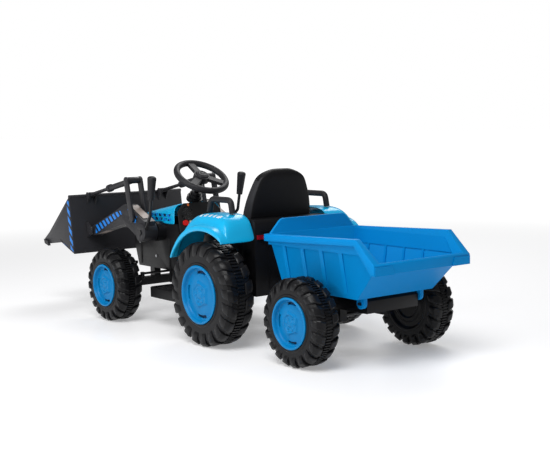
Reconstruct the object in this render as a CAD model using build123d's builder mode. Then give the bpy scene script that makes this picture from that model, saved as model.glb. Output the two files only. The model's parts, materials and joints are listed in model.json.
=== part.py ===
"""Ride-on toy tractor with a front loader and a tipping trailer, in millimetres.

The tractor faces -Y and its left side is +X. The origin is on the ground, midway
between the bucket's front edge and the trailer's tail lip, on the middle plane.
Pieces on the left are built first, and the right ones are their mirror images.
"""

import os
from math import asin, atan2, cos, degrees, hypot, radians, sin, sqrt

from build123d import *

os.makedirs("parts", exist_ok=True)

# ---------------------------------------------------------------- driving dimensions
REAR_Y = 217.0              # rear axle, behind the origin
WHEELBASE = 552.0           # rear axle to front axle
TRAILER_GAP = 381.0         # rear axle to trailer axle
REAR_R, REAR_WIDTH, REAR_TRACK_X = 150.0, 88.0, 225.0
SMALL_R, SMALL_WIDTH = 117.0, 76.0
FRONT_TRACK_X, TRAILER_TRACK_X = 229.0, 210.0
REAR_RIM_R, SMALL_RIM_R = 84.0, 68.0
BODY_HALF = 88.0            # half the width of the nose and the tunnel
SEAT_HALF = 138.0           # half the width of the body under the seat
BUCKET_HALF = 230.0         # half the bucket's width
TUB_HALF = 172.0            # half the trailer tub's width over its rim

WALL = 4.0                  # moulded plastic wall
RUN = 0.05                  # radial clearance of a shaft that turns in its bore
GAP = 2.0                   # side clearance between pieces that turn past each other
SEAM = 0.3                  # clearance between moulded covers

FRONT_Y = REAR_Y - WHEELBASE
TRAILER_Y = REAR_Y + TRAILER_GAP

# loader: hub on the body, elbow where the tilt fork turns, bucket hinge
HUB_Y, HUB_Z = FRONT_Y + 74, 286.0
ELBOW_Y, ELBOW_Z = FRONT_Y + 26, 328.0
HINGE_Y, HINGE_Z = FRONT_Y - 258, 270.0
CRANK_Y, CRANK_Z = -29.0, 124.0      # elbow to fork top, and hinge to bucket bracket
FORK_Y, FORK_Z = ELBOW_Y + CRANK_Y, ELBOW_Z + CRANK_Z
BRACKET_Y, BRACKET_Z = HINGE_Y + CRANK_Y, HINGE_Z + CRANK_Z
ARM_IN, ARM_OUT = 126.0, 166.0       # inner and outer faces of a loader arm
ARM_MID = (ARM_IN + ARM_OUT) / 2
PIN_R = 6.0                          # loader pins
HUB_R = 8.0                          # loader axle
FORK_PLATE = 8.0                     # thickness of a fork plate
BUCKET_WALL = 6.0

# steering
WHEEL_HUB_Y, WHEEL_HUB_Z = FRONT_Y + 181, 462.0
RIM_R, RIM_TUBE_R = 82.0, 10.5
SHAFT_R = 7.0
CRANK_ARM = 40.0                     # steering crank
KNUCKLE_ARM = 45.0                   # knuckle's arm to the tie rod
TIE_Y, TIE_Z = FRONT_Y + KNUCKLE_ARM, 148.0
BALL_Z = TIE_Z + 12                  # the crank's ball stands this high in the tie rod's fork
BALL_R, CRANK_R = 7.0, 3.5
BALL_FORK = BALL_R + 0.6             # half the gap between the fork's plates
BALL_REACH = hypot(WHEEL_HUB_Y - TIE_Y, WHEEL_HUB_Z - BALL_Z)
COLUMN_TILT = degrees(atan2(WHEEL_HUB_Y - TIE_Y, WHEEL_HUB_Z - BALL_Z)
                      + asin(CRANK_ARM / BALL_REACH))    # the column leans back from vertical
KINGPIN_X, KINGPIN_R = 150.0, 7.0
SPINDLE_R = 6.0

# trailer
HITCH_Y, HITCH_Z = 340.0, 152.0
HITCH_PIN_R = 6.0
TIP_Y, TIP_Z, TIP_R = 714.0, 166.0, 4.0
TUB_FRONT_Y, TAIL_Y = 378.0, 834.0
TUB_WALL = 5.0

DASH = Plane(origin=(0, FRONT_Y + 163, 332), x_dir=(-1, 0, 0), z_dir=(0, 92, 20))
COLUMN = Plane(
    origin=(0, WHEEL_HUB_Y, WHEEL_HUB_Z),
    x_dir=(1, 0, 0),
    z_dir=(0, sin(radians(COLUMN_TILT)), cos(radians(COLUMN_TILT))),
)


def save(piece, name):
    """Label a finished piece and write its STEP file."""
    piece.part.label = name
    export_step(piece.part, f"parts/{name}.step")


def save_mirrored(piece, name):
    """Write a left-hand piece's mirror image on the right."""
    with BuildPart() as twin:
        mirror(piece.part, about=Plane.YZ)
    save(twin, name)


def side_prism(points, low_x, high_x, mode=Mode.ADD):
    """Extrude a closed outline in Y and Z from one X to another."""
    with BuildSketch(Plane.YZ.offset(low_x)) as outline:
        with BuildLine():
            Polyline(*points, close=True)
        make_face()
    extrude(outline.sketch, amount=high_x - low_x, mode=mode)


def block(low, high, mode=Mode.ADD):
    """A box between two corners, in the part's frame."""
    size = [b - a for a, b in zip(low, high)]
    middle = [(a + b) / 2 for a, b in zip(low, high)]
    with Locations(tuple(middle)):
        Box(*size, mode=mode)


def cross_rod(y, z, radius, low_x, high_x, mode=Mode.ADD):
    """A rod or a bore along X."""
    with BuildSketch(Plane.YZ.offset(low_x)) as section:
        with Locations((y, z)):
            Circle(radius)
    extrude(section.sketch, amount=high_x - low_x, mode=mode)


def upright_rod(x, y, radius, low_z, high_z, mode=Mode.ADD):
    """A rod or a bore along Z."""
    with BuildSketch(Plane.XY.offset(low_z)) as section:
        with Locations((x, y)):
            Circle(radius)
    extrude(section.sketch, amount=high_z - low_z, mode=mode)


def line_rod(start, end, radius, mode=Mode.ADD):
    """A round bar between two points."""
    run = Vector(*end) - Vector(*start)
    with BuildSketch(Plane(origin=start, z_dir=run)) as section:
        Circle(radius)
    extrude(section.sketch, amount=run.length, mode=mode)


def bent_tube(points, radius, bend):
    """A round tube along straight runs with rounded corners."""
    with BuildLine() as route:
        FilletPolyline(*points, radius=bend)
    with BuildSketch(Plane(origin=points[0], z_dir=route.line % 0)) as section:
        Circle(radius)
    sweep(section.sketch, path=route.line)


def both_sides(piece):
    """Both hands of a piece as two solids in one node."""
    with BuildPart() as pair:
        add(piece.part)
        mirror(piece.part, about=Plane.YZ)
    return pair


# ---------------------------------------------------------------- wheels
TYRE_WALL = 5.0
RIM_FLANGE = 6.0            # rim flange stands this far outside the sidewall
BEAD = 5.0                  # rim flange covers this much of the sidewall
HUB_WALL = 8.0
AXLE_R = 6.0


def wheel(name, x, y, radius, width, rim_r):
    """One hollow moulded tyre and the dished rim that closes its outer side."""
    side = 1 if x > 0 else -1
    half = width / 2
    seat = rim_r - BEAD
    bore = AXLE_R + RUN
    section = Plane(origin=(x, y, radius), x_dir=(side, 0, 0), z_dir=(0, -side, 0))
    spin = Axis((x, y, radius), (1, 0, 0))
    hub_end = half - 16

    with BuildPart() as tyre:
        with BuildSketch(section):
            with BuildLine():
                Polyline(
                    (-half + 6, bore), (-half + 6, seat), (-half, seat + 8),
                    (-half + 2, radius * 0.84), (-half + 12, radius * 0.965),
                    (-half * 0.35, radius), (half * 0.35, radius),
                    (half - 12, radius * 0.965), (half - 2, radius * 0.84),
                    (half, seat + 8), (half, seat), (half - TYRE_WALL, seat),
                    (half - TYRE_WALL - 2, radius * 0.84 - TYRE_WALL),
                    (half * 0.35, radius - TYRE_WALL - 1),
                    (-half * 0.35, radius - TYRE_WALL - 1),
                    (-half + TYRE_WALL + 8, radius * 0.84 - TYRE_WALL),
                    (-half + 6 + TYRE_WALL, bore + HUB_WALL + 6),
                    (-half + 6 + TYRE_WALL, bore + HUB_WALL),
                    (hub_end - WALL, bore + HUB_WALL), (hub_end - WALL, bore),
                    close=True,
                )
            make_face()
        revolve(axis=spin)
    save(tyre, f"tyre_{name}")

    with BuildPart() as rim:
        with BuildSketch(section):
            with BuildLine():
                Polyline(
                    (hub_end - WALL, bore), (hub_end - WALL, rim_r * 0.4),
                    (half - 18 - WALL, rim_r * 0.5), (half - 18 - WALL, rim_r * 0.72),
                    (half - 8, seat - WALL - 2), (half - 8, seat - SEAM), (half, seat - SEAM),
                    (half, rim_r), (half + RIM_FLANGE, rim_r - 2),
                    (half + RIM_FLANGE, seat - 5), (half - 4, seat - 9),
                    (half - 18, rim_r * 0.74), (half - 18, rim_r * 0.48),
                    (hub_end + 8, rim_r * 0.38), (hub_end + 8, bore),
                    close=True,
                )
            make_face()
        revolve(axis=spin)
    save(rim, f"rim_{name}")


WHEELS = {
    "front": (FRONT_TRACK_X, FRONT_Y, SMALL_R, SMALL_WIDTH, SMALL_RIM_R),
    "rear": (REAR_TRACK_X, REAR_Y, REAR_R, REAR_WIDTH, REAR_RIM_R),
    "trailer": (TRAILER_TRACK_X, TRAILER_Y, SMALL_R, SMALL_WIDTH, SMALL_RIM_R),
}
for place, (track_x, axle_y, tyre_r, tyre_width, wheel_rim_r) in WHEELS.items():
    for hand, side_sign in (("left", 1), ("right", -1)):
        wheel(f"{place}_{hand}", side_sign * track_x, axle_y, tyre_r, tyre_width, wheel_rim_r)

# ---------------------------------------------------------------- body
HOOD_Z = 312.0              # seam between the lower body and the hood
LEDGE_Z = 358.0             # top of the body behind the seat
PAN_Z = 300.0               # floor of the seat well
BELLY_Z = 100.0
REAR_FACE_Y = 312.0
REAR_BELLY_Z = REAR_R - 10.0
SEAT_BODY_Y = 95.0          # where the wide body under the seat starts
NOSE_Y = FRONT_Y - 101.0
BAY_FRONT_Y, BAY_REAR_Y = FRONT_Y + 110, FRONT_Y + 130
STEP_Y = FRONT_Y + 255       # front end of the low floor between the knees
DASH_TOP_Z = 378.0


def dash_y(z):
    """The Y of the dash plane at a height."""
    return DASH.origin.Y - (z - DASH.origin.Z) * 20 / 92


BARREL_R, BARREL_END = 32.0, 118.0

with BuildPart() as lower_body:
    side_prism(
        [(NOSE_Y, HOOD_Z), (NOSE_Y + 2, 225), (NOSE_Y + 24, 160), (BAY_FRONT_Y, 160),
         (BAY_REAR_Y, BELLY_Z), (SEAT_BODY_Y, BELLY_Z), (SEAT_BODY_Y, PAN_Z - 10),
         (60, PAN_Z - 10), (30, 215), (STEP_Y, 215), (dash_y(280), 280), (dash_y(HOOD_Z), HOOD_Z)],
        -BODY_HALF, BODY_HALF,
    )
    side_prism(
        [(SEAT_BODY_Y, REAR_BELLY_Z), (REAR_FACE_Y, REAR_BELLY_Z), (REAR_FACE_Y, LEDGE_Z - 10),
         (REAR_FACE_Y - 6, LEDGE_Z), (266, LEDGE_Z), (258, PAN_Z), (60, PAN_Z),
         (60, PAN_Z - 30), (SEAT_BODY_Y, 230)],
        -SEAT_HALF, SEAT_HALF,
    )
    for sign in (1, -1):
        cross_rod(HUB_Y, HUB_Z, BARREL_R, min(sign * BODY_HALF, sign * BARREL_END),
                  max(sign * BODY_HALF, sign * BARREL_END))
    # open front bay for the steering, closed bays for the battery and the drive
    inner = BODY_HALF - WALL
    side_prism(
        [(NOSE_Y + WALL, HOOD_Z), (NOSE_Y + 2 + WALL, 225), (NOSE_Y + 24 + WALL, 160),
         (BAY_FRONT_Y - WALL, 160), (BAY_FRONT_Y - WALL, 250), (dash_y(HOOD_Z) - WALL, HOOD_Z)],
        -inner, inner, mode=Mode.SUBTRACT,
    )
    side_prism(
        [(BAY_REAR_Y + WALL, BELLY_Z + WALL), (91, BELLY_Z + WALL), (91, 264), (64, 264),
         (30, 211), (STEP_Y + 2, 211), (dash_y(276) - WALL, 276), (dash_y(300) - WALL, 300),
         (BAY_FRONT_Y + WALL, 248), (BAY_FRONT_Y + WALL, 162)],
        -inner, inner, mode=Mode.SUBTRACT,
    )
    block((WALL - SEAT_HALF, SEAT_BODY_Y + WALL, REAR_BELLY_Z + WALL),
          (SEAT_HALF - WALL, REAR_FACE_Y - WALL, PAN_Z - WALL), mode=Mode.SUBTRACT)
    block((WALL - SEAT_HALF, 266, PAN_Z - WALL),
          (SEAT_HALF - WALL, REAR_FACE_Y - WALL, LEDGE_Z - 10), mode=Mode.SUBTRACT)
    # bores for the loader axle and the rear axle
    cross_rod(HUB_Y, HUB_Z, HUB_R, -BARREL_END, BARREL_END, mode=Mode.SUBTRACT)
    cross_rod(REAR_Y, REAR_R, AXLE_R, -SEAT_HALF, SEAT_HALF, mode=Mode.SUBTRACT)
save(lower_body, "lower_body")

HOOD_FRONT_Z = 330.0
HOOD_HALF = 90.0


def hood_bulk(inset):
    """The hood's solid outline, set in from its outer faces."""
    with BuildPart() as bulk:
        side_prism(
            [(NOSE_Y + inset, HOOD_Z), (NOSE_Y + 4 + inset, HOOD_FRONT_Z - inset),
             (FRONT_Y + 5, 352 - inset), (FRONT_Y + 95, 368 - inset),
             (dash_y(DASH_TOP_Z), DASH_TOP_Z - inset),
             (dash_y(HOOD_Z), HOOD_Z)],
            inset - HOOD_HALF, HOOD_HALF - inset,
        )
        top = bulk.edges().filter_by(lambda e: e.center().Z > HOOD_FRONT_Z - inset - 1
                                     and abs(e.center().X) > HOOD_HALF - inset - 1)
        chamfer(top.filter_by(lambda e: e.center().Y < dash_y(DASH_TOP_Z) - 1), 24)
    return bulk


with BuildPart() as hood:
    add(hood_bulk(0).part)
    add(hood_bulk(WALL).part, mode=Mode.SUBTRACT)
    with BuildSketch(COLUMN.offset(-60)):
        Circle(SHAFT_R + 5)
    extrude(amount=-70, mode=Mode.SUBTRACT)
    cross_rod(HUB_Y, HUB_Z, BARREL_R + SEAM, -HOOD_HALF, HOOD_HALF, mode=Mode.SUBTRACT)
save(hood, "hood")

with BuildPart() as grille:
    block((-62, NOSE_Y - 4, 236), (62, NOSE_Y, 304))
    for step in range(5):
        block((-56, NOSE_Y - 4, 243 + 12 * step), (56, NOSE_Y - 2, 249 + 12 * step),
              mode=Mode.SUBTRACT)
save(grille, "grille")

with BuildPart() as headlights:
    for sign in (1, -1):
        with BuildSketch(Plane(origin=(sign * 75, NOSE_Y, 285), z_dir=(0, -1, 0))):
            Circle(11)
        extrude(amount=6, taper=20)
save(headlights, "headlights")

# ---------------------------------------------------------------- dash
PANEL_THICK = 7.0
PANEL_HALF, PANEL_TOP, PANEL_LOW = 82.0, 46.0, -48.0
GAUGE_AT = (-50.0, 12.0)
LAMP_AT = (-42.0, 40.0)
POWER_AT, POWER_R = (-62.0, -18.0), 9.0
ROCKER_AT, ROCKER_SIZE = (-38.0, -17.0), (15.0, 12.0)
BUTTON_CLEAR = 0.4
BUTTON_PROUD = 6.0
POWER_BASE = 4.0            # leaves room behind the button for its 3 mm of travel
ROCKER_PIN_R, ROCKER_PIN_RISE = 1.6, 4.5
ROCKER_PIN_HALF = ROCKER_SIZE[0] / 2 + BUTTON_CLEAR + 2.5
ROCKER_PIN = Plane(origin=DASH.from_local_coords((*ROCKER_AT, ROCKER_PIN_RISE)), z_dir=DASH.x_dir)

with BuildPart() as dash_panel:
    with BuildSketch(DASH):
        with BuildLine():
            Polyline((-PANEL_HALF, PANEL_LOW), (PANEL_HALF, PANEL_LOW), (PANEL_HALF, 20),
                     (PANEL_HALF - 26, PANEL_TOP), (26 - PANEL_HALF, PANEL_TOP),
                     (-PANEL_HALF, 20), close=True)
        make_face()
    extrude(amount=PANEL_THICK)
    with BuildSketch(DASH.offset(PANEL_THICK)):
        with Locations(GAUGE_AT):
            Circle(22)
    extrude(amount=-4, mode=Mode.SUBTRACT)
    with BuildSketch(DASH):
        with Locations(LAMP_AT):
            Circle(4)
        with Locations(POWER_AT):
            Circle(POWER_R + BUTTON_CLEAR)
        with Locations(ROCKER_AT):
            Rectangle(ROCKER_SIZE[0] + 2 * BUTTON_CLEAR, ROCKER_SIZE[1] + 2 * BUTTON_CLEAR)
    extrude(amount=PANEL_THICK, mode=Mode.SUBTRACT)
    with BuildSketch(ROCKER_PIN):
        Circle(ROCKER_PIN_R + RUN)
    extrude(amount=ROCKER_PIN_HALF, both=True, mode=Mode.SUBTRACT)
save(dash_panel, "dash_panel")

with BuildPart() as gauge:
    with BuildSketch(DASH.offset(PANEL_THICK - 4)):
        with Locations(GAUGE_AT):
            Circle(22)
    extrude(amount=2)
save(gauge, "gauge")

with BuildPart() as gauge_lens:
    with BuildSketch(DASH.offset(PANEL_THICK - 2)):
        with Locations(GAUGE_AT):
            Circle(22)
    extrude(amount=4, taper=12)
save(gauge_lens, "gauge_lens")

with BuildPart() as dash_lamp:
    with BuildSketch(DASH):
        with Locations(LAMP_AT):
            Circle(4)
    extrude(amount=PANEL_THICK + 2)
save(dash_lamp, "dash_lamp")

with BuildPart() as power_button:
    with BuildSketch(DASH.offset(POWER_BASE)):
        with Locations(POWER_AT):
            Circle(POWER_R)
    extrude(amount=PANEL_THICK - POWER_BASE + BUTTON_PROUD)
save(power_button, "power_button")

with BuildPart() as direction_rocker:
    with BuildSketch(DASH.offset(PANEL_THICK - 5)):
        with Locations(ROCKER_AT):
            Rectangle(ROCKER_SIZE[0] - 1, ROCKER_SIZE[1] - 2)
    extrude(amount=5 + BUTTON_PROUD)
    with BuildSketch(ROCKER_PIN):
        Circle(ROCKER_PIN_R)
    extrude(amount=ROCKER_PIN_HALF, both=True)
save(direction_rocker, "direction_rocker")

# ---------------------------------------------------------------- steering
BOOT_LOW, BOOT_HIGH = -92.0, -56.0
SHAFT_END = -sqrt(BALL_REACH ** 2 - CRANK_ARM ** 2)

with BuildPart() as column_boot:
    for low, high, radius in ((BOOT_LOW, BOOT_LOW + 14, 26), (BOOT_LOW + 14, BOOT_LOW + 26, 21),
                              (BOOT_LOW + 26, BOOT_HIGH, 17)):
        with BuildSketch(COLUMN.offset(low)):
            Circle(radius)
        extrude(amount=high - low)
    with BuildSketch(COLUMN.offset(BOOT_LOW)):
        Circle(SHAFT_R + 2)
    extrude(amount=BOOT_HIGH - BOOT_LOW, mode=Mode.SUBTRACT)
    for neighbour in (hood_bulk(0), dash_panel):
        add(neighbour.part, mode=Mode.SUBTRACT)
save(column_boot, "column_boot")

with BuildPart() as steering_wheel:
    with BuildSketch(Plane(origin=COLUMN.origin, x_dir=COLUMN.x_dir, z_dir=-COLUMN.y_dir)):
        with Locations((RIM_R, 0)):
            Circle(RIM_TUBE_R)
    revolve(axis=Axis(COLUMN.origin, COLUMN.z_dir))
    with BuildSketch(COLUMN.offset(-12)):
        Circle(26)
    extrude(amount=20)
    for angle in (37, 143, 270):
        spoke = Plane(origin=COLUMN.origin, x_dir=COLUMN.z_dir, z_dir=(
            COLUMN.x_dir * cos(radians(angle)) + COLUMN.y_dir * sin(radians(angle))))
        with BuildSketch(spoke.offset(20)):
            Rectangle(11, 22)
        extrude(amount=RIM_R - 24)
    with BuildSketch(COLUMN.offset(-12)):
        Circle(SHAFT_R)
    extrude(amount=12, mode=Mode.SUBTRACT)
save(steering_wheel, "steering_wheel")

with BuildPart() as steering_cap:
    with BuildSketch(COLUMN.offset(8)):
        Circle(20)
    extrude(amount=5, taper=25)
save(steering_cap, "steering_cap")

with BuildPart() as steering_shaft:
    with BuildSketch(COLUMN.offset(SHAFT_END - 4)):
        Circle(SHAFT_R)
    extrude(amount=-SHAFT_END + 4)
    with BuildSketch(COLUMN.offset(-50)):
        Circle(13)
    extrude(amount=38)
    crank_root = COLUMN.offset(SHAFT_END)
    crank_tip = crank_root.origin + COLUMN.y_dir * CRANK_ARM
    line_rod(tuple(crank_root.origin), tuple(crank_tip), CRANK_R)
    with Locations(crank_tip):
        Sphere(BALL_R)
save(steering_shaft, "steering_shaft")

BEAM_LOW, BEAM_HIGH = SMALL_R - 13, SMALL_R + 13
PLATE = 6.0
ARM_TOP = BEAM_HIGH + 1.5 + PLATE

with BuildPart() as front_axle_beam:
    block((-KINGPIN_X, FRONT_Y - 13, BEAM_LOW), (KINGPIN_X, FRONT_Y + 13, BEAM_HIGH))
    for sign in (1, -1):
        upright_rod(sign * KINGPIN_X, FRONT_Y, 13, BEAM_LOW, BEAM_HIGH)
        upright_rod(sign * KINGPIN_X, FRONT_Y, KINGPIN_R + RUN, BEAM_LOW, BEAM_HIGH,
                    mode=Mode.SUBTRACT)
        block((min(sign * 60, sign * 84), FRONT_Y - 13, BEAM_HIGH),
              (max(sign * 60, sign * 84), FRONT_Y + 13, 210))
save(front_axle_beam, "front_axle_beam")

with BuildPart() as knuckle:
    upright_rod(KINGPIN_X, FRONT_Y, KINGPIN_R, BEAM_LOW - 1.5 - PLATE, 184)
    upright_rod(KINGPIN_X, FRONT_Y, 10, 178, 186)
    for low in (BEAM_LOW - 1.5 - PLATE, ARM_TOP - PLATE):
        upright_rod(KINGPIN_X, FRONT_Y, 13, low, low + PLATE)
        block((KINGPIN_X, FRONT_Y - 13, low), (KINGPIN_X + 24, FRONT_Y + 13, low + PLATE))
    block((KINGPIN_X + 17, FRONT_Y - 13, BEAM_LOW - 1.5 - PLATE),
          (KINGPIN_X + 24, FRONT_Y + 13, ARM_TOP))
    cross_rod(FRONT_Y, SMALL_R, SPINDLE_R, KINGPIN_X + 20, FRONT_TRACK_X + SMALL_WIDTH / 2 - 8)
    cross_rod(FRONT_Y, SMALL_R, 13, KINGPIN_X + 24,
              FRONT_TRACK_X - SMALL_WIDTH / 2 + 6 - GAP / 2)
    block((KINGPIN_X - 7, FRONT_Y, ARM_TOP - PLATE), (KINGPIN_X + 7, TIE_Y, ARM_TOP))
    upright_rod(KINGPIN_X, TIE_Y, 8, ARM_TOP - PLATE, ARM_TOP)
    upright_rod(KINGPIN_X, TIE_Y, 3 + RUN, ARM_TOP - PLATE, ARM_TOP, mode=Mode.SUBTRACT)
save(knuckle, "knuckle_left")
save_mirrored(knuckle, "knuckle_right")

with BuildPart() as tie_rod:
    cross_rod(TIE_Y, TIE_Z, 4, -KINGPIN_X, KINGPIN_X)
    for sign in (1, -1):
        upright_rod(sign * KINGPIN_X, TIE_Y, 7, ARM_TOP + 1, TIE_Z + 5)
        upright_rod(sign * KINGPIN_X, TIE_Y, 3, ARM_TOP - PLATE - 3, TIE_Z)
        low, high = sorted((sign * BALL_FORK, sign * (BALL_FORK + 4)))
        block((low, TIE_Y - 3, TIE_Z - 2), (high, TIE_Y + 6, TIE_Z + 20))
save(tie_rod, "tie_rod")

# ---------------------------------------------------------------- fenders and handles
FENDER_IN, FENDER_OUT = SEAT_HALF, 262.0
FENDER_TOP = 376.0
ARCH_R = REAR_R + 30
FENDER_TIP_Z, FENDER_BACK_Z = 244.0, 282.0
FENDER_BACK_Y = 322.0


def fender_bulk(inset):
    """The fender's solid outline, set in from its outer faces."""
    top = FENDER_TOP - inset
    with BuildPart() as bulk:
        side_prism(
            [(REAR_Y - 168 + inset, FENDER_TIP_Z), (REAR_Y - 158 + inset, 292),
             (REAR_Y - 122 + inset, 346), (REAR_Y - 66, top), (REAR_Y + 42, top),
             (REAR_Y + 84 - inset, 350), (FENDER_BACK_Y - inset, FENDER_BACK_Z),
             (REAR_Y + 60, FENDER_BACK_Z - 60), (REAR_Y - 100, FENDER_TIP_Z - 20)],
            FENDER_IN, FENDER_OUT - inset,
        )
        outer = bulk.edges().filter_by(lambda e: e.center().X > FENDER_OUT - inset - 1
                                       and e.center().Z > FENDER_BACK_Z + 20)
        chamfer(outer.filter_by(lambda e: e.center().Y > REAR_Y - 150), 30, 44)
    return bulk


with BuildPart() as fender:
    add(fender_bulk(0).part)
    add(fender_bulk(WALL).part, mode=Mode.SUBTRACT)
    cross_rod(REAR_Y, REAR_R, ARCH_R, FENDER_IN, FENDER_OUT, mode=Mode.SUBTRACT)
    block((FENDER_IN, REAR_Y - 300, 60), (FENDER_OUT, REAR_Y + 300, FENDER_TIP_Z),
          mode=Mode.SUBTRACT)
    block((FENDER_IN, REAR_Y, 60), (FENDER_OUT, REAR_Y + 300, FENDER_BACK_Z),
          mode=Mode.SUBTRACT)
save(fender, "fender_left")
save_mirrored(fender, "fender_right")

HANDLE_X, HANDLE_R = 176.0, 9.0
HANDLE_FRONT_Y, HANDLE_BACK_Y, HANDLE_TOP = 151.0, 259.0, 414.0

with BuildPart() as fender_handle:
    bent_tube([(HANDLE_X, HANDLE_FRONT_Y - 6, FENDER_TOP), (HANDLE_X, HANDLE_FRONT_Y + 6, HANDLE_TOP),
               (HANDLE_X, HANDLE_BACK_Y - 8, HANDLE_TOP), (HANDLE_X, HANDLE_BACK_Y, FENDER_TOP)],
              HANDLE_R, 16)
    add(fender.part, mode=Mode.SUBTRACT)
save(both_sides(fender_handle), "fender_handles")

# ---------------------------------------------------------------- seat, floor, drive
SEAT_HALF_W = 116.0         # half the width of the seat itself
SEAT_TOP_Z = 502.0
BACK_LEAN = 7.0
SEAT_WALL = 5.0
BACK_FOOT_Y = 178.0         # front of the seat back, where it stands on the pan

with BuildPart() as seat_base:
    block((-SEAT_HALF_W, 62, PAN_Z), (SEAT_HALF_W, BACK_FOOT_Y - 2, PAN_Z + 34))
    fillet(seat_base.edges().filter_by(Axis.Z), 28)
    fillet(seat_base.faces().sort_by(Axis.Z)[-1].edges(), 8)
    offset(amount=-SEAT_WALL, openings=seat_base.faces().sort_by(Axis.Z)[0])
save(seat_base, "seat_base")

back_plane = Plane(origin=(0, 216, PAN_Z), x_dir=(-1, 0, 0),
                   z_dir=(0, cos(radians(BACK_LEAN)), -sin(radians(BACK_LEAN))))
BACK_RISE = (SEAT_TOP_Z - PAN_Z) / cos(radians(BACK_LEAN)) - 4

with BuildPart() as seat_back:
    with BuildSketch(back_plane):
        with BuildLine():
            Polyline((-SEAT_HALF_W, -6), (SEAT_HALF_W, -6), (SEAT_HALF_W, 100),
                     (SEAT_HALF_W - 22, 150), (66, BACK_RISE), (-66, BACK_RISE),
                     (22 - SEAT_HALF_W, 150), (-SEAT_HALF_W, 100), close=True)
        make_face()
    extrude(amount=40)
    extrude(seat_back.faces().sort_by(Axis.Y)[0], amount=60)
    side_prism([(BACK_FOOT_Y - 60, PAN_Z), (BACK_FOOT_Y, PAN_Z), (BACK_FOOT_Y + 26, PAN_Z + 70),
                (BACK_FOOT_Y + 62, SEAT_TOP_Z + 20), (BACK_FOOT_Y - 60, SEAT_TOP_Z + 20)],
               -SEAT_HALF, SEAT_HALF, mode=Mode.SUBTRACT)
    fillet(seat_back.edges().filter_by(lambda e: e.length < 60 and abs(e.tangent_at(0.5).X) < 0.01
                                       and e.center().Z > PAN_Z + 150), 22)
    block((-SEAT_HALF, 80, PAN_Z - 40), (SEAT_HALF, REAR_FACE_Y, PAN_Z), mode=Mode.SUBTRACT)
    offset(amount=-SEAT_WALL, openings=seat_back.faces().sort_by(Axis.Z)[0])
save(seat_back, "seat_back")

FOOT_FRONT_Y, FOOT_BACK_Y, FOOT_OUT = FRONT_Y + 155, 44.0, 198.0
FOOT_LOW, FOOT_TOP = 92.0, 122.0
PEDAL_X, PEDAL_HALF = -140.0, 27.0
PEDAL_HEEL_Y, PEDAL_TOE_Y = FRONT_Y + 261, FRONT_Y + 189
PEDAL_PIN_R, PEDAL_PIN_Z, PEDAL_TOE_Z = 4.0, FOOT_TOP + 4, FOOT_TOP + 20
PEDAL_LUG = 5.0

for hand, sign in (("left", 1), ("right", -1)):
    with BuildPart() as footboard:
        block((min(sign * BODY_HALF, sign * FOOT_OUT), FOOT_FRONT_Y, FOOT_LOW),
              (max(sign * BODY_HALF, sign * FOOT_OUT), FOOT_BACK_Y, FOOT_TOP))
        fillet(footboard.edges().filter_by(Axis.Z).filter_by(
            lambda e: abs(e.center().X) > FOOT_OUT - 1), 24)
        block((min(sign * (BODY_HALF + 8), sign * (FOOT_OUT - 8)), FOOT_FRONT_Y + 10, FOOT_TOP - 4),
              (max(sign * (BODY_HALF + 8), sign * (FOOT_OUT - 8)), FOOT_BACK_Y - 10, FOOT_TOP),
              mode=Mode.SUBTRACT)
        if sign * PEDAL_X > 0:
            for side in (-1, 1):
                low, high = sorted((PEDAL_X + side * (PEDAL_HALF + SEAM),
                                    PEDAL_X + side * (PEDAL_HALF + SEAM + PEDAL_LUG)))
                block((low, PEDAL_HEEL_Y - 8, FOOT_TOP - 5), (high, PEDAL_HEEL_Y + 8, PEDAL_PIN_Z))
                cross_rod(PEDAL_HEEL_Y, PEDAL_PIN_Z, 8, low, high)
                cross_rod(PEDAL_HEEL_Y, PEDAL_PIN_Z, PEDAL_PIN_R + RUN, low, high, mode=Mode.SUBTRACT)
    save(footboard, f"footboard_{hand}")

with BuildPart() as pedal:
    side_prism([(PEDAL_HEEL_Y, PEDAL_PIN_Z - 5), (PEDAL_TOE_Y, PEDAL_TOE_Z), (PEDAL_TOE_Y, PEDAL_TOE_Z + 8),
                (PEDAL_HEEL_Y, PEDAL_PIN_Z + 4)], PEDAL_X - PEDAL_HALF, PEDAL_X + PEDAL_HALF)
    cross_rod(PEDAL_HEEL_Y, PEDAL_PIN_Z, PEDAL_PIN_R, PEDAL_X - PEDAL_HALF - SEAM - PEDAL_LUG,
              PEDAL_X + PEDAL_HALF + SEAM + PEDAL_LUG)
save(pedal, "pedal")

with BuildPart() as rear_axle:
    cross_rod(REAR_Y, REAR_R, AXLE_R, -REAR_TRACK_X - REAR_WIDTH / 2 + 8,
              REAR_TRACK_X + REAR_WIDTH / 2 - 8)
save(rear_axle, "rear_axle")

with BuildPart() as stub_axle:
    cross_rod(HUB_Y, HUB_Z, HUB_R, BODY_HALF - WALL - 10, ARM_OUT + 8)
    cross_rod(HUB_Y, HUB_Z, HUB_R + 5, BODY_HALF - WALL - 14, BODY_HALF - WALL)
save(both_sides(stub_axle), "loader_axles")

with BuildPart() as battery:
    block((-75, FRONT_Y + 185, BELLY_Z + WALL), (75, FRONT_Y + 285, 195))
save(battery, "battery")

with BuildPart() as gearbox:
    block((SEAT_HALF, REAR_Y - 32, REAR_R - 32), (SEAT_HALF + 36, REAR_Y + 80, REAR_R + 34))
    fillet(gearbox.edges().filter_by(Axis.X), 16)
    cross_rod(REAR_Y, REAR_R, AXLE_R, SEAT_HALF, SEAT_HALF + 36, mode=Mode.SUBTRACT)
save(both_sides(gearbox), "drive_gearboxes")

with BuildPart() as tail_lamp:
    block((70, REAR_FACE_Y, 303), (SEAT_HALF - 6, REAR_FACE_Y + 5, 315))
save(both_sides(tail_lamp), "tail_lamps")

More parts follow.
